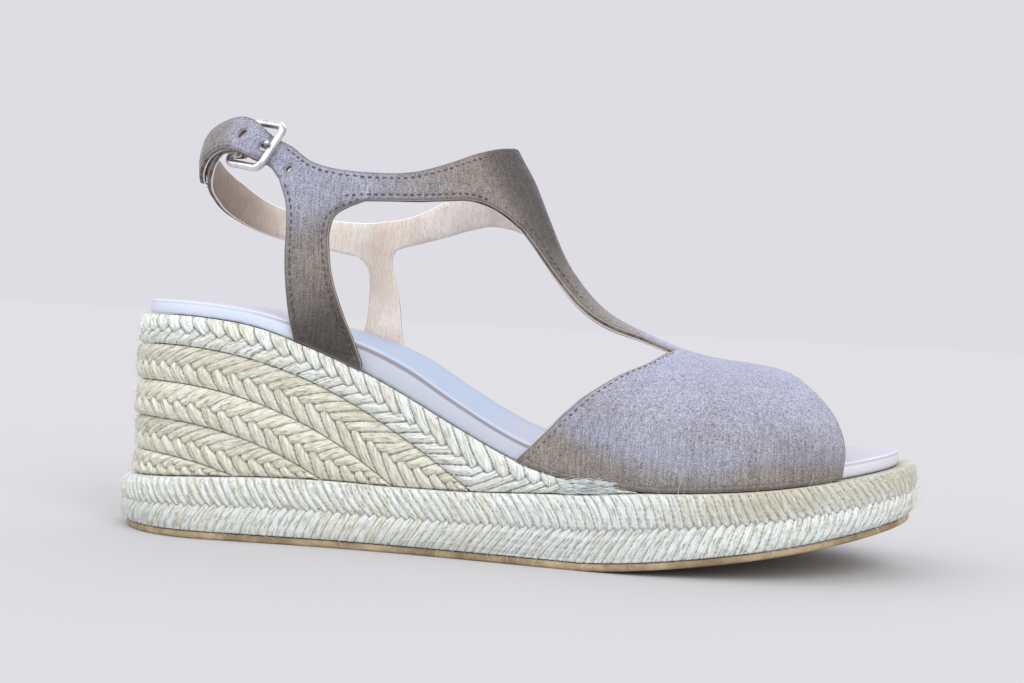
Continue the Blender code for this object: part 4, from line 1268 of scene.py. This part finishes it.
def rope_band(name, lower, upper, side, bulge, setback, front, pitch, slopes, finish, seed):
    """A rope layer, as the points of its outer side: a closed profile carried round the outline.

    The outer side is the outline drawn in by the setback and by the side's own setback at that
    level, less the braid's depth. Its back runs inside at a fixed depth, and slow waves push the
    braid along and outward.
    """
    shares, sides, run = band_path(front, setback)
    heel_half = np.linspace(-LENGTH / 2, 0, 50)
    tallest = float(np.max(upper(heel_half) - lower(heel_half)))
    level = np.linspace(0, 1, max(12, int(tallest / ROPE_STEP) + 3))
    inward = np.interp(level, *zip(*side)) * bulge
    wave = np.random.default_rng(seed).normal(size=(WAVES, 2))
    middle_x = along_at(shares, setback)
    thick = np.maximum(upper(middle_x)[:, None] - lower(middle_x)[:, None], 1e-5)
    height = level[None] * thick
    uneven = sum(
        a * np.sin(run[:, None] / (0.021 + 0.013 * k) + 3 * b + height * 200)
        for k, (a, b) in enumerate(wave)
    )
    stretched = run[:, None] + WAVE_RUN * uneven
    depth, strand, valley_shade = braid(stretched, height, pitch, slopes, thick * 0.5)
    depth = depth * np.clip(thick / (0.9 * pitch), 0.15, 1) + WAVE_DEPTH * uneven
    depth = depth * np.clip(np.minimum(level, 1 - level)[None] / 0.06 + 0.45, 0, 1)

    def placed(inset, level):
        """Points at insets and levels, for every station."""
        x = along_at(shares[:, None], inset)
        lateral, medial = halves(x, inset)
        low = lower(x)
        y = np.where(sides[:, None] < 0, -lateral, medial)
        return np.stack([x, y, low + level * (upper(x) - low)], axis=-1)

    def carried(values):
        """The values of the outer side, carried on over the back."""
        return np.concatenate([values, np.repeat(values[:, -1:], BACK_POINTS, axis=1)], axis=1)

    outer = placed(setback + inward[None] - depth, level[None])
    back = setback + np.array([bulge + BAND_LIP, BAND_DEPTH, BAND_DEPTH, bulge + BAND_LIP])
    rings = np.concatenate([outer, placed(back, np.array([1.0, 1.0, 0.0, 0.0]))], axis=1)
    strand, valley_shade = carried(strand), carried(valley_shade)
    if front != 1:
        ends = np.repeat(rings.mean(axis=1, keepdims=True), rings.shape[1], axis=1)
        rings = np.concatenate([ends[:1], rings, ends[-1:]])
        strand, valley_shade = (np.concatenate([v[:1], v, v[-1:]]) for v in (strand, valley_shade))
    piece(
        name + "_braid",
        rings,
        grid_faces(*rings.shape[:2], front == 1),
        [finish],
        (name,),
        attributes={"strand": strand, "valley_shade": valley_shade, "golden": gold_share(rings)},
    )
    return outer


def gold_share(points):
    """Where the jute is yellower: the top of the platform towards the toe."""
    x, z = points[..., 0], points[..., 2]
    ahead = ease((x - 0.028) / 0.05)
    high = ease((z - ground(x) - 0.45 * SOLE_HEIGHT) / 0.006)
    return np.clip(0.75 * ahead * high, 0, 1)


def fuzz(name, outers, finish):
    """Loose fibres: thin tapered stalks that start on the braid and bend away from it.

    Each heads along the braid at a random turn and out of it by a lean, which a bend changes on
    the way to the tip.
    """
    rng = np.random.default_rng(FUZZ_SEED)
    points, normals, tangents = [], [], []
    for outer in outers:
        run = np.gradient(outer, axis=0)
        points.append(outer.reshape(-1, 3))
        normals.append(unit(np.cross(np.gradient(outer, axis=1), run)).reshape(-1, 3))
        tangents.append(unit(run).reshape(-1, 3))
    pick = rng.integers(0, sum(len(v) for v in points), FUZZ_COUNT)
    start, out, along = (np.concatenate(v)[pick] for v in (points, normals, tangents))
    one = (FUZZ_COUNT, 1)
    angle = rng.uniform(0, 2 * math.pi, one)
    flat = unit(along * np.cos(angle) + np.cross(out, along) * np.sin(angle))
    lean = rng.uniform(*FUZZ_LEAN, one)
    bend = rng.uniform(*FUZZ_BEND, one)
    length = rng.uniform(*FUZZ_LENGTH, one) * rng.uniform(0.6, 1.4, one)
    t = np.linspace(0, 1, STALK_RINGS)[None, :, None]
    heading = flat[:, None] * (1 - 0.2 * t) + out[:, None] * (lean[:, None] + bend[:, None] * t)
    step = unit(heading) * length[:, None] / (STALK_RINGS - 1)
    line = start[:, None] - out[:, None] * FUZZ_ROOT + np.cumsum(step, axis=1) - step[:, :1]
    stalks(name, line, rng.uniform(*FUZZ_RADIUS, (*one, 1, 1)), finish)


def frayed_end(name, finish):
    """The cut end of the top rope row: a bundle of fibres that fans out ahead, lateral side only.

    Each starts at a random place on the row's end, heads forward, and curls with the square of
    its run.
    """
    rng = np.random.default_rng(FRAY_SEED)
    one = (FRAY_COUNT, 1)
    x = rng.uniform(FRAY_FROM, FRAY_TO, one)
    high = rng.uniform(0, 1, one)
    lateral, _ = halves(x, WEDGE_SETBACK + rng.uniform(-FRAY_SPREAD, FRAY_SPREAD, one))
    floor = platform_top(x) + 2 * FIT
    rise = np.maximum(seat(x) - floor, 0) + FRAY_SWELL * ease((x - FRAY_FROM) / FRAY_SWELL_RUN)
    start = np.concatenate([x, -lateral, floor + high * rise], axis=1)
    out = rng.uniform(*FRAY_OUT, one)
    heading = np.concatenate([np.ones(one), out, rng.uniform(*FRAY_UP, one) * high], axis=1)
    length = rng.uniform(*FRAY_LENGTH, one)[:, None]
    curl = rng.normal(0, FRAY_CURL, (FRAY_COUNT, 1, 3))
    t = np.linspace(0, 1, STALK_RINGS)[None, :, None]
    line = start[:, None] + unit(heading)[:, None] * length * t + curl * length * t**2 * 0.5
    stalks(name, line, rng.uniform(*FRAY_RADIUS, (*one, 1, 1)), finish)


def stalks(name, line, radius, finish):
    """Thin stalks along rows of points: rings that narrow to a fifth, kept above the floor."""
    t = np.linspace(0, 1, STALK_RINGS)[None, :, None, None]
    heading = unit(np.gradient(line, axis=1))
    side = unit(np.cross(heading, [0.3, 0.5, 0.8]))
    turned = np.cross(heading, side)
    around = (np.arange(STALK_SIDES) * 2 * math.pi / STALK_SIDES)[None, None, :, None]
    ring = side[:, :, None] * np.cos(around) + turned[:, :, None] * np.sin(around)
    verts = line[:, :, None] + ring * radius * (1 - 0.8 * t)
    verts[..., 2] = np.maximum(verts[..., 2], FIT)
    piece(name, verts, capped_tubes(STALK_RINGS, STALK_SIDES, len(line)), [finish])


def slab_skin(name, lower, upper, side, setback, finish, slot):
    """A closed layer: loops that run up the medial side, over, down the lateral one and under.

    A point of a side is the outline drawn in by the setback and by the side's own setback at that
    level. Over and under, straight lines join the two sides.
    """
    t = np.linspace(0, 1, SLAB_STATIONS)
    share = SLAB_EVEN * t + (1 - SLAB_EVEN) * (1 - np.cos(math.pi * t)) / 2
    levels, setbacks = np.array(side).T
    blend = (np.linspace(-1, 1, SLAB_COLUMNS)[1:-1] + 1) / 2

    def edge(inset, level, medial_side):
        x = along_at(share, inset)
        lateral, medial = halves(x, inset)
        y = medial if medial_side else -lateral
        return np.stack([x, y, lower(x) + level * (upper(x) - lower(x))], axis=-1)

    def between(first, second):
        return first * (1 - blend[None, :, None]) + second * blend[None, :, None]

    insets = setback + PLATFORM_BULGE * setbacks
    medial, lateral = (
        np.stack([edge(i, level, which) for i, level in zip(insets, levels)], axis=1)
        for which in (True, False)
    )
    lateral = lateral[:, ::-1]
    over = between(medial[:, -1:], lateral[:, :1])
    under = between(lateral[:, -1:], medial[:, :1])
    rings = np.concatenate([medial, over, lateral, under], axis=1)
    rim = np.concatenate([levels, np.ones(len(blend)), levels[::-1], np.zeros(len(blend))])
    rim = np.tile(rim, (SLAB_STATIONS, 1))
    faces = grid_faces(*rings.shape[:2], False)
    piece(name, rings, faces, [finish], (slot,), attributes={"rim": rim})


def shell(points, faces):
    """A wall from a sheet: the sheet, a copy set in by WALL, and a rounded rim between.

    The rim is a half turn: its depth goes with one less the cosine and its bulge with the sine.
    """
    corner = points[faces]
    flat = np.cross(corner[:, 1] - corner[:, 0], corner[:, 2] - corner[:, 0])
    normal = np.zeros_like(points)
    for k in range(3):
        np.add.at(normal, faces[:, k], flat)
    normal = unit(normal)
    count = len(points)
    inner = points - normal * WALL
    points = points.copy()
    edges = np.concatenate([faces[:, [0, 1]], faces[:, [1, 2]], faces[:, [2, 0]]])
    keys, reverse = edges[:, 0] * count + edges[:, 1], edges[:, 1] * count + edges[:, 0]
    rim = edges[~np.isin(keys, reverse)]
    ahead = np.zeros_like(points)
    push = np.cross(unit(points[rim[:, 1]] - points[rim[:, 0]]), normal[rim[:, 0]])
    np.add.at(ahead, rim[:, 0], push)
    np.add.at(ahead, rim[:, 1], push)
    on_rim = np.unique(rim)
    ahead = unit(ahead[on_rim])
    points[on_rim] -= normal[on_rim] * EDGE_DROP
    turn = np.linspace(0, math.pi, RIM_ROWS + 1)[1:-1]
    down = (WALL - EDGE_DROP) * (1 - np.cos(turn)) / 2
    ring = (
        points[on_rim][None]
        - normal[on_rim][None] * down[:, None, None]
        + ahead[None] * (EDGE_ROUND * np.sin(turn))[:, None, None]
    )
    lookup = np.full(count, -1)
    lookup[on_rim] = np.arange(len(on_rim))
    every = np.arange(count)
    between = [2 * count + k * len(on_rim) + lookup for k in range(RIM_ROWS - 1)]
    ids = [every, *between, count + every]
    quads = np.concatenate(
        [
            np.stack([above[rim[:, 1]], above[rim[:, 0]], below[rim[:, 0]], below[rim[:, 1]]], 1)
            for above, below in zip(ids[:-1], ids[1:])
        ]
    )
    triangles = [faces, faces[:, ::-1] + count, quads[:, :3], quads[:, [0, 2, 3]]]
    index = np.repeat([0, 1, 2], [len(faces), len(faces), 2 * len(quads)])
    levels = np.repeat((1 - np.cos(turn)) / 2, len(on_rim))
    depth = np.concatenate([np.zeros(count), np.ones(count), levels])
    source = np.concatenate([every, every, np.tile(on_rim, RIM_ROWS - 1)])
    walls = np.concatenate([points, inner, ring.reshape(-1, 3)])
    return walls, np.concatenate(triangles), index, depth, source, on_rim


def tone_and_shading_of(around, plane):
    """Tone of the suede by zone: vamp, stem of the T, its branches, quarter strap and tab.

    It also carries painted light: a sky sheen on top of the vamp, and shade at the vamp's foot and
    low on the quarter strap.
    """
    side = np.abs(around)
    # The vamp lightens towards its top with painted sky sheen and darkens to its foot with painted
    # shade
    vamp = np.interp(side, *VAMP_TONE_AND_SHADING) + 0.25 * ease((plane + 10) / 10) * ease((side - 80) / 14)
    on_stem = ease((plane - 12) / 10) * (1 - ease((side - 25) / 20))
    lower = vamp + (np.interp(plane, *STEM_TONE) - vamp) * on_stem
    # The quarter strap darkens low down with painted shade
    branch, quarter = np.interp(side, *BRANCH_TONE), np.interp(plane, *QUARTER_TONE_AND_SHADING)
    behind = ease((side - 76) / 12)
    upper = branch + (quarter - branch) * behind
    upper += (0.1 - upper) * ease((side - 146) / 12)
    return lower + (upper - lower) * ease((plane - 46) / 10)


def crease_depth(around, plane):
    """Sum of soft troughs, each the product of a bell across its line and a bell along it."""
    wide, tall = pattern_scale()
    total = np.zeros_like(around)
    for at, level, turn, length, width, depth in CREASES:
        u, v = (around - at) * wide * 1000, (plane - level) * tall * 1000
        cos, sin = math.cos(math.radians(turn)), math.sin(math.radians(turn))
        along, across = u * cos + v * sin, -u * sin + v * cos
        total += depth * np.exp(-((2 * across / width) ** 2) - (2 * along / length) ** 2)
    return total / 1000


def build_upper(last, frame, finishes):
    pattern, faces = triangulate(*upper_pattern(last))
    used = np.unique(faces)
    lookup = np.full(len(pattern), -1)
    lookup[used] = np.arange(len(used))
    pattern, faces = pattern[used], lookup[faces]
    points = lay(last, frame, pattern)
    around, plane = pattern[:, 0], pattern[:, 1]
    free = (around > 1 - FRONT_BAR) & (around < 360 - ZONE_END)
    points[free] -= (last.normal(around, plane) * crease_depth(around, plane)[:, None])[free]
    walls, triangles, index, depth, source, on_rim = shell(points, faces)
    border = points[on_rim]
    near = [
        np.linalg.norm(block[:, None] - border[None], axis=2).min(axis=1)
        for block in np.array_split(points, 24)
    ]
    attributes = {
        "depth": depth,
        "edge": np.concatenate(near)[source] * 1000,
        "tone_and_shading": tone_and_shading_of(around, plane)[source],
    }
    piece("upper_suede", walls, triangles, finishes, ("upper",), index, attributes)


def surface_frame(last, frame, pattern):
    """Places and outward normals of pattern points as they are laid."""
    step = 0.05
    place = lay(last, frame, pattern)
    ringwise = lay(last, frame, pattern + [step, 0]) - lay(last, frame, pattern - [step, 0])
    lengthwise = lay(last, frame, pattern + [0, step]) - lay(last, frame, pattern - [0, step])
    return place, unit(np.cross(ringwise, lengthwise))


def stitch_line(last, frame, edge, other, inset=STITCH_INSET):
    """Points and normals of a seam set in from one edge of a strap towards the other."""
    edge, other = np.array(edge, float), np.array(other, float)
    gap = lay(last, frame, other) - lay(last, frame, edge)
    across = np.linalg.norm(gap, axis=1, keepdims=True)
    return surface_frame(last, frame, edge + (other - edge) * np.minimum(inset / across, 0.5))


def run_along(points):
    """Length of the way along a row of points, up to each of them."""
    return np.concatenate([[0], np.cumsum(np.linalg.norm(np.diff(points, axis=0), axis=1))])


def sampled(values, run, at):
    """Rows of three values, at places along a run."""
    return np.stack([np.interp(at, run, values[:, k]) for k in range(3)], axis=1)


def stitches(name, lines, finish, length=STITCH_LENGTH, radius=STITCH_RADIUS):
    """Short rounded threads along seams: one capsule, turned to each stitch's place.

    A capsule's section is a circle that narrows with the cube of the way from its middle, and its
    middle stands a little higher than its ends.
    """
    centres, tangents, normals = [], [], []
    for place, normal in lines:
        run = run_along(place)
        at = np.arange(STITCH_PITCH / 2, run[-1], STITCH_PITCH)
        centres.append(sampled(place, run, at))
        tangents.append(unit(sampled(place, run, at + 1e-4) - sampled(place, run, at - 1e-4)))
        normals.append(unit(sampled(normal, run, at)))
    centres, tangents, normals = (
        np.concatenate(v)[:, None, None] for v in (centres, tangents, normals)
    )
    side = np.cross(normals, tangents)
    t = np.linspace(-1, 1, STITCH_RINGS)
    thick = radius * np.sqrt(np.clip(1 - np.abs(t) ** 3, 0.02, 1))[:, None]
    angle = np.linspace(0, 2 * math.pi, STITCH_SIDES, endpoint=False)
    lift = (radius * 0.5 * (1 - t**2) - radius * 0.25)[:, None]
    verts = (
        centres
        + tangents * (t * length / 2)[None, :, None, None]
        + side * (thick * np.cos(angle))[None, :, :, None]
        + normals * (thick * np.sin(angle) + lift)[None, :, :, None]
    )
    faces = capped_tubes(STITCH_RINGS, STITCH_SIDES, len(centres))
    piece(name, verts, faces, [finish])


def seams(last, frame):
    """The sewn lines of the upper, lateral and then medial."""

    def belt(rows, side, low, high, column, samples=60):
        """Along a belt's lower edge with column 1, along its upper edge with column 2."""
        at = np.linspace(low, high, samples)
        near, far = ([(side * a, smooth(rows, a, k)) for a in at] for k in (column, 3 - column))
        return stitch_line(last, frame, near, far)

    def quarter(rows, side, high, front):
        edges = quarter_edges(rows, np.linspace(0.02, high, 40), side)
        return stitch_line(last, frame, *(edges if front else edges[::-1]))

    def bar(side):
        at = np.linspace(37, 60, 40)
        half = side * smooth(T_BAR, at)
        return stitch_line(last, frame, np.stack([half, at], 1), np.stack([-half, at], 1))

    return [
        belt(LATERAL_BELT, -1, 12, 126, 2),
        belt(LATERAL_BELT, -1, 24, 96, 1),
        quarter(LATERAL_QUARTER, -1, 0.98, True),
        quarter(LATERAL_QUARTER, -1, 0.97, False),
        bar(-1),
        belt(MEDIAL_BELT, 1, 12, 200, 2, 90),
        belt(MEDIAL_BELT, 1, 26, 92, 1),
        belt(MEDIAL_BELT, 1, 138, 200, 1),
        quarter(MEDIAL_QUARTER, 1, 0.97, True),
        quarter(MEDIAL_QUARTER, 1, 0.97, False),
        bar(1),
    ]


def vamp_seams(last, frame):
    """The fine seam along the vamp's rear edge, on each side of the T-bar."""
    share = np.linspace(0.24, 0.97, 50)
    lines = []
    for side in (-1, 1):
        at = last.foot(VAMP[-1][1], side) * share
        edge, far = (np.stack([at, smooth(VAMP, share, k)], axis=1) for k in (1, 2))
        lines.append(stitch_line(last, frame, edge, far, FINE_INSET))
    return lines


def wire(name, path, across, radius, closed, finish, replaced):
    """A wire: a section between a circle and a square, carried along a path.

    The section is a superellipse, and the ends of an open wire round off over three points.
    """
    ahead = np.roll(path, -1, 0) - np.roll(path, 1, 0) if closed else np.gradient(path, axis=0)
    tangent = unit(ahead)
    up = unit(across - (across * tangent).sum(1, keepdims=True) * tangent)
    beside = np.cross(tangent, up)
    angle = np.linspace(0, 2 * math.pi, WIRE_SIDES, endpoint=False)
    cos, sin = np.cos(angle), np.sin(angle)
    spread = (np.abs(cos) ** WIRE_POWER + np.abs(sin) ** WIRE_POWER) ** (-1 / WIRE_POWER)
    taper = np.ones(len(path))
    if not closed:
        ends = np.minimum(np.arange(len(path)), np.arange(len(path))[::-1]) / 3
        taper = np.sqrt(np.clip(1 - (1 - np.clip(ends, 0.02, 1)) ** 2, 0, 1))
    ring = beside[:, None] * (radius * spread * cos)[None, :, None]
    ring = (ring + up[:, None] * (radius * spread * sin)[None, :, None]) * taper[:, None, None]
    faces = grid_faces(len(path), WIRE_SIDES, True)
    if not closed:
        faces = capped_tubes(len(path), WIRE_SIDES)
    piece(name, path[:, None] + ring, faces, [finish], (replaced,))


def even_path(points, count, closed):
    """A smooth path of evenly set points through a route."""
    route = np.array(points, float)
    if closed:
        route = np.concatenate([route, route[:1]])
    run = run_along(route)
    return sampled(route, run, np.linspace(0, run[-1], count, endpoint=not closed))


def build_buckle(frame, finish):
    """The frame's loop about its middle, and the prong from its hook over to the front bar."""
    half_bar = STRAP_WIDTH / 2 + BUCKLE_SIDE_ROOM + BUCKLE_WIRE / 2
    outline = rounded_rectangle(frame.span / 2, half_bar, BUCKLE_BEND, 10)
    route = [frame.place(frame.span / 2 + a, u, 0.0) for a, u in outline]
    path = even_path(route, 160, True)
    wire("buckle_frame_metal", path, frame.out, BUCKLE_WIRE / 2, True, finish, "buckle_frame")
    hook = frame.under + PRONG_WIRE / 2
    steps = np.radians(np.linspace(PRONG_HOOK_TURN, 90, 24))
    route = [(hook * math.cos(t), hook * math.sin(t)) for t in steps]
    at = np.linspace(PRONG_RISE[0][0], 1, 40)
    route += [(frame.span * s, hook * float(smooth(PRONG_RISE, s))) for s in at]
    route.append((frame.span + PRONG_OVERHANG, hook * PRONG_RISE[-1][1]))
    path = even_path([frame.place(a, 0.0, o) for a, o in route], 90, False)
    wire("buckle_prong_metal", path, frame.up, PRONG_WIRE / 2, False, finish, "buckle_prong")


def build_rope():
    """The braided platform and rows, as the points of their outer sides."""
    row_skin = rope_finish("jute_rows", ROPE_PALE, ROPE_STRAW)
    top_skin = rope_finish("jute_top_row", ROPE_WHITE, ROPE_PALE)
    base_skin = rope_finish("jute_platform", ROPE_WHITE, ROPE_PALE)

    def platform_bottom(x):
        return outsole_top(x) + FIT

    outers = [
        rope_band(
            "platform",
            platform_bottom,
            platform_top,
            PLATFORM_SIDE,
            PLATFORM_BULGE,
            0.0,
            1,
            PLATFORM_PITCH,
            PLATFORM_SLOPES,
            base_skin,
            PLATFORM_SEED,
        )
    ]
    for number in range(len(ROW_LINES) + 1):

        def bottom(x, line=number + 1):
            return row_line(line, x) + FIT

        def top(x, line=number):
            return row_line(line, x)

        outers.append(
            rope_band(
                f"rope_row_{number + 1}",
                bottom,
                top,
                ROPE_SIDE,
                ROW_BULGE,
                WEDGE_SETBACK,
                row_front(number) + ROW_RUN_ON * (number == 0),
                ROW_PITCH,
                ROW_SLOPES if number else TOP_ROW_SLOPES,
                row_skin if number else top_skin,
                ROW_SEED + number,
            )
        )
    return outers


def build_sole_layers():
    """The outsole and the insole, whose thickness follows its table."""

    def insole_bottom(x):
        return seat(x) + FIT

    def insole_top(x):
        return insole_bottom(x) + INSOLE_THICKNESS * smooth(INSOLE, share_of(x))

    rubber, leather = outsole_finish(), insole_finish()
    slab_skin(
        "outsole_rubber", ground, outsole_top, SOLE_EDGE, OUTSOLE_SETBACK, rubber, "outsole"
    )
    slab_skin(
        "insole_cover", insole_bottom, insole_top, INSOLE_EDGE, INSOLE_SETBACK, leather, "insole"
    )


def build_camera():
    turn, pitch, roll = (math.radians(v) for v in (CAMERA_TURN, CAMERA_PITCH, CAMERA_ROLL))
    level = Vector((-math.sin(turn), math.cos(turn), 0))
    ahead = level * math.cos(pitch) + Vector((0, 0, 1)) * math.sin(pitch)
    beside = Vector((math.cos(turn), math.sin(turn), 0))
    over = beside.cross(ahead)
    right = beside * math.cos(roll) + over * math.sin(roll)
    up = over * math.cos(roll) - beside * math.sin(roll)
    data = bpy.data.cameras.new("camera")
    data.lens = LENS
    matrix = Matrix((right, up, -ahead)).transposed().to_4x4()
    matrix.translation = Vector(CAMERA_AIM) - level * CAMERA_DISTANCE
    camera = shown("camera", data)
    camera.matrix_world = matrix
    bpy.context.scene.camera = camera


def soft_light(name, towards, power, spread, tint):
    """A far light from one side, broad so that its shadows are soft."""
    data = bpy.data.lights.new(name, "SUN")
    data.energy, data.angle, data.color = power, math.radians(spread), tint
    shown(name, data).rotation_euler = Vector(towards).to_track_quat("Z", "Y").to_euler()


def build_studio():
    """A pale floor that runs out to an even sky of its own tone, and broad soft lights."""
    scene = bpy.context.scene
    scene.view_settings.view_transform = "Standard"
    world = bpy.data.worlds.new("studio")
    world.use_nodes = True
    sky = world.node_tree.nodes["Background"].inputs
    sky["Color"].default_value = SKY
    sky["Strength"].default_value = SKY_STRENGTH
    scene.world = world
    turn = np.linspace(0, 2 * math.pi, FLOOR_SIDES + 1)[:-1]
    ring = np.stack([np.cos(turn), np.sin(turn), np.zeros(FLOOR_SIDES)], axis=-1) * FLOOR_RADIUS
    mesh = bpy.data.meshes.new("floor")
    mesh.from_pydata(ring.tolist(), [], [list(range(FLOOR_SIDES))])
    paper = Finish("pale_floor", Roughness=0.9, Specular_IOR_Level=0.0)
    mesh.materials.append(paper.set(Base_Color=FLOOR))
    shown("floor", mesh)
    soft_light("key", (0.45, -1.0, 0.8), KEY_POWER, 50.0, WARM_WHITE)
    soft_light("fill", (-0.8, -0.3, 0.7), FILL_POWER, 70.0, COOL_WHITE)
    soft_light("back", (0.1, 0.8, 0.9), BACK_POWER, 60.0, COOL_WHITE)


def build():
    """The studio, then the shoe from the rope up."""
    build_studio()
    build_camera()
    last = Last()
    frame = BuckleFrame(last)
    outers = build_rope()
    fuzz("jute_fuzz", outers, hair_finish())
    frayed_end("frayed_rope_end", tuft_finish())
    build_sole_layers()
    build_upper(last, frame, [suede_finish(), lining_finish(), edge_finish()])
    thread = thread_finish("thread", THREAD_DARK, THREAD_LIGHT)
    stitches("strap_stitches", seams(last, frame), thread)
    fine = thread_finish("fine_thread", FINE_THREAD_DARK, FINE_THREAD_LIGHT)
    stitches("vamp_stitches", vamp_seams(last, frame), fine, FINE_LENGTH, FINE_RADIUS)
    build_buckle(frame, nickel_finish())


build()
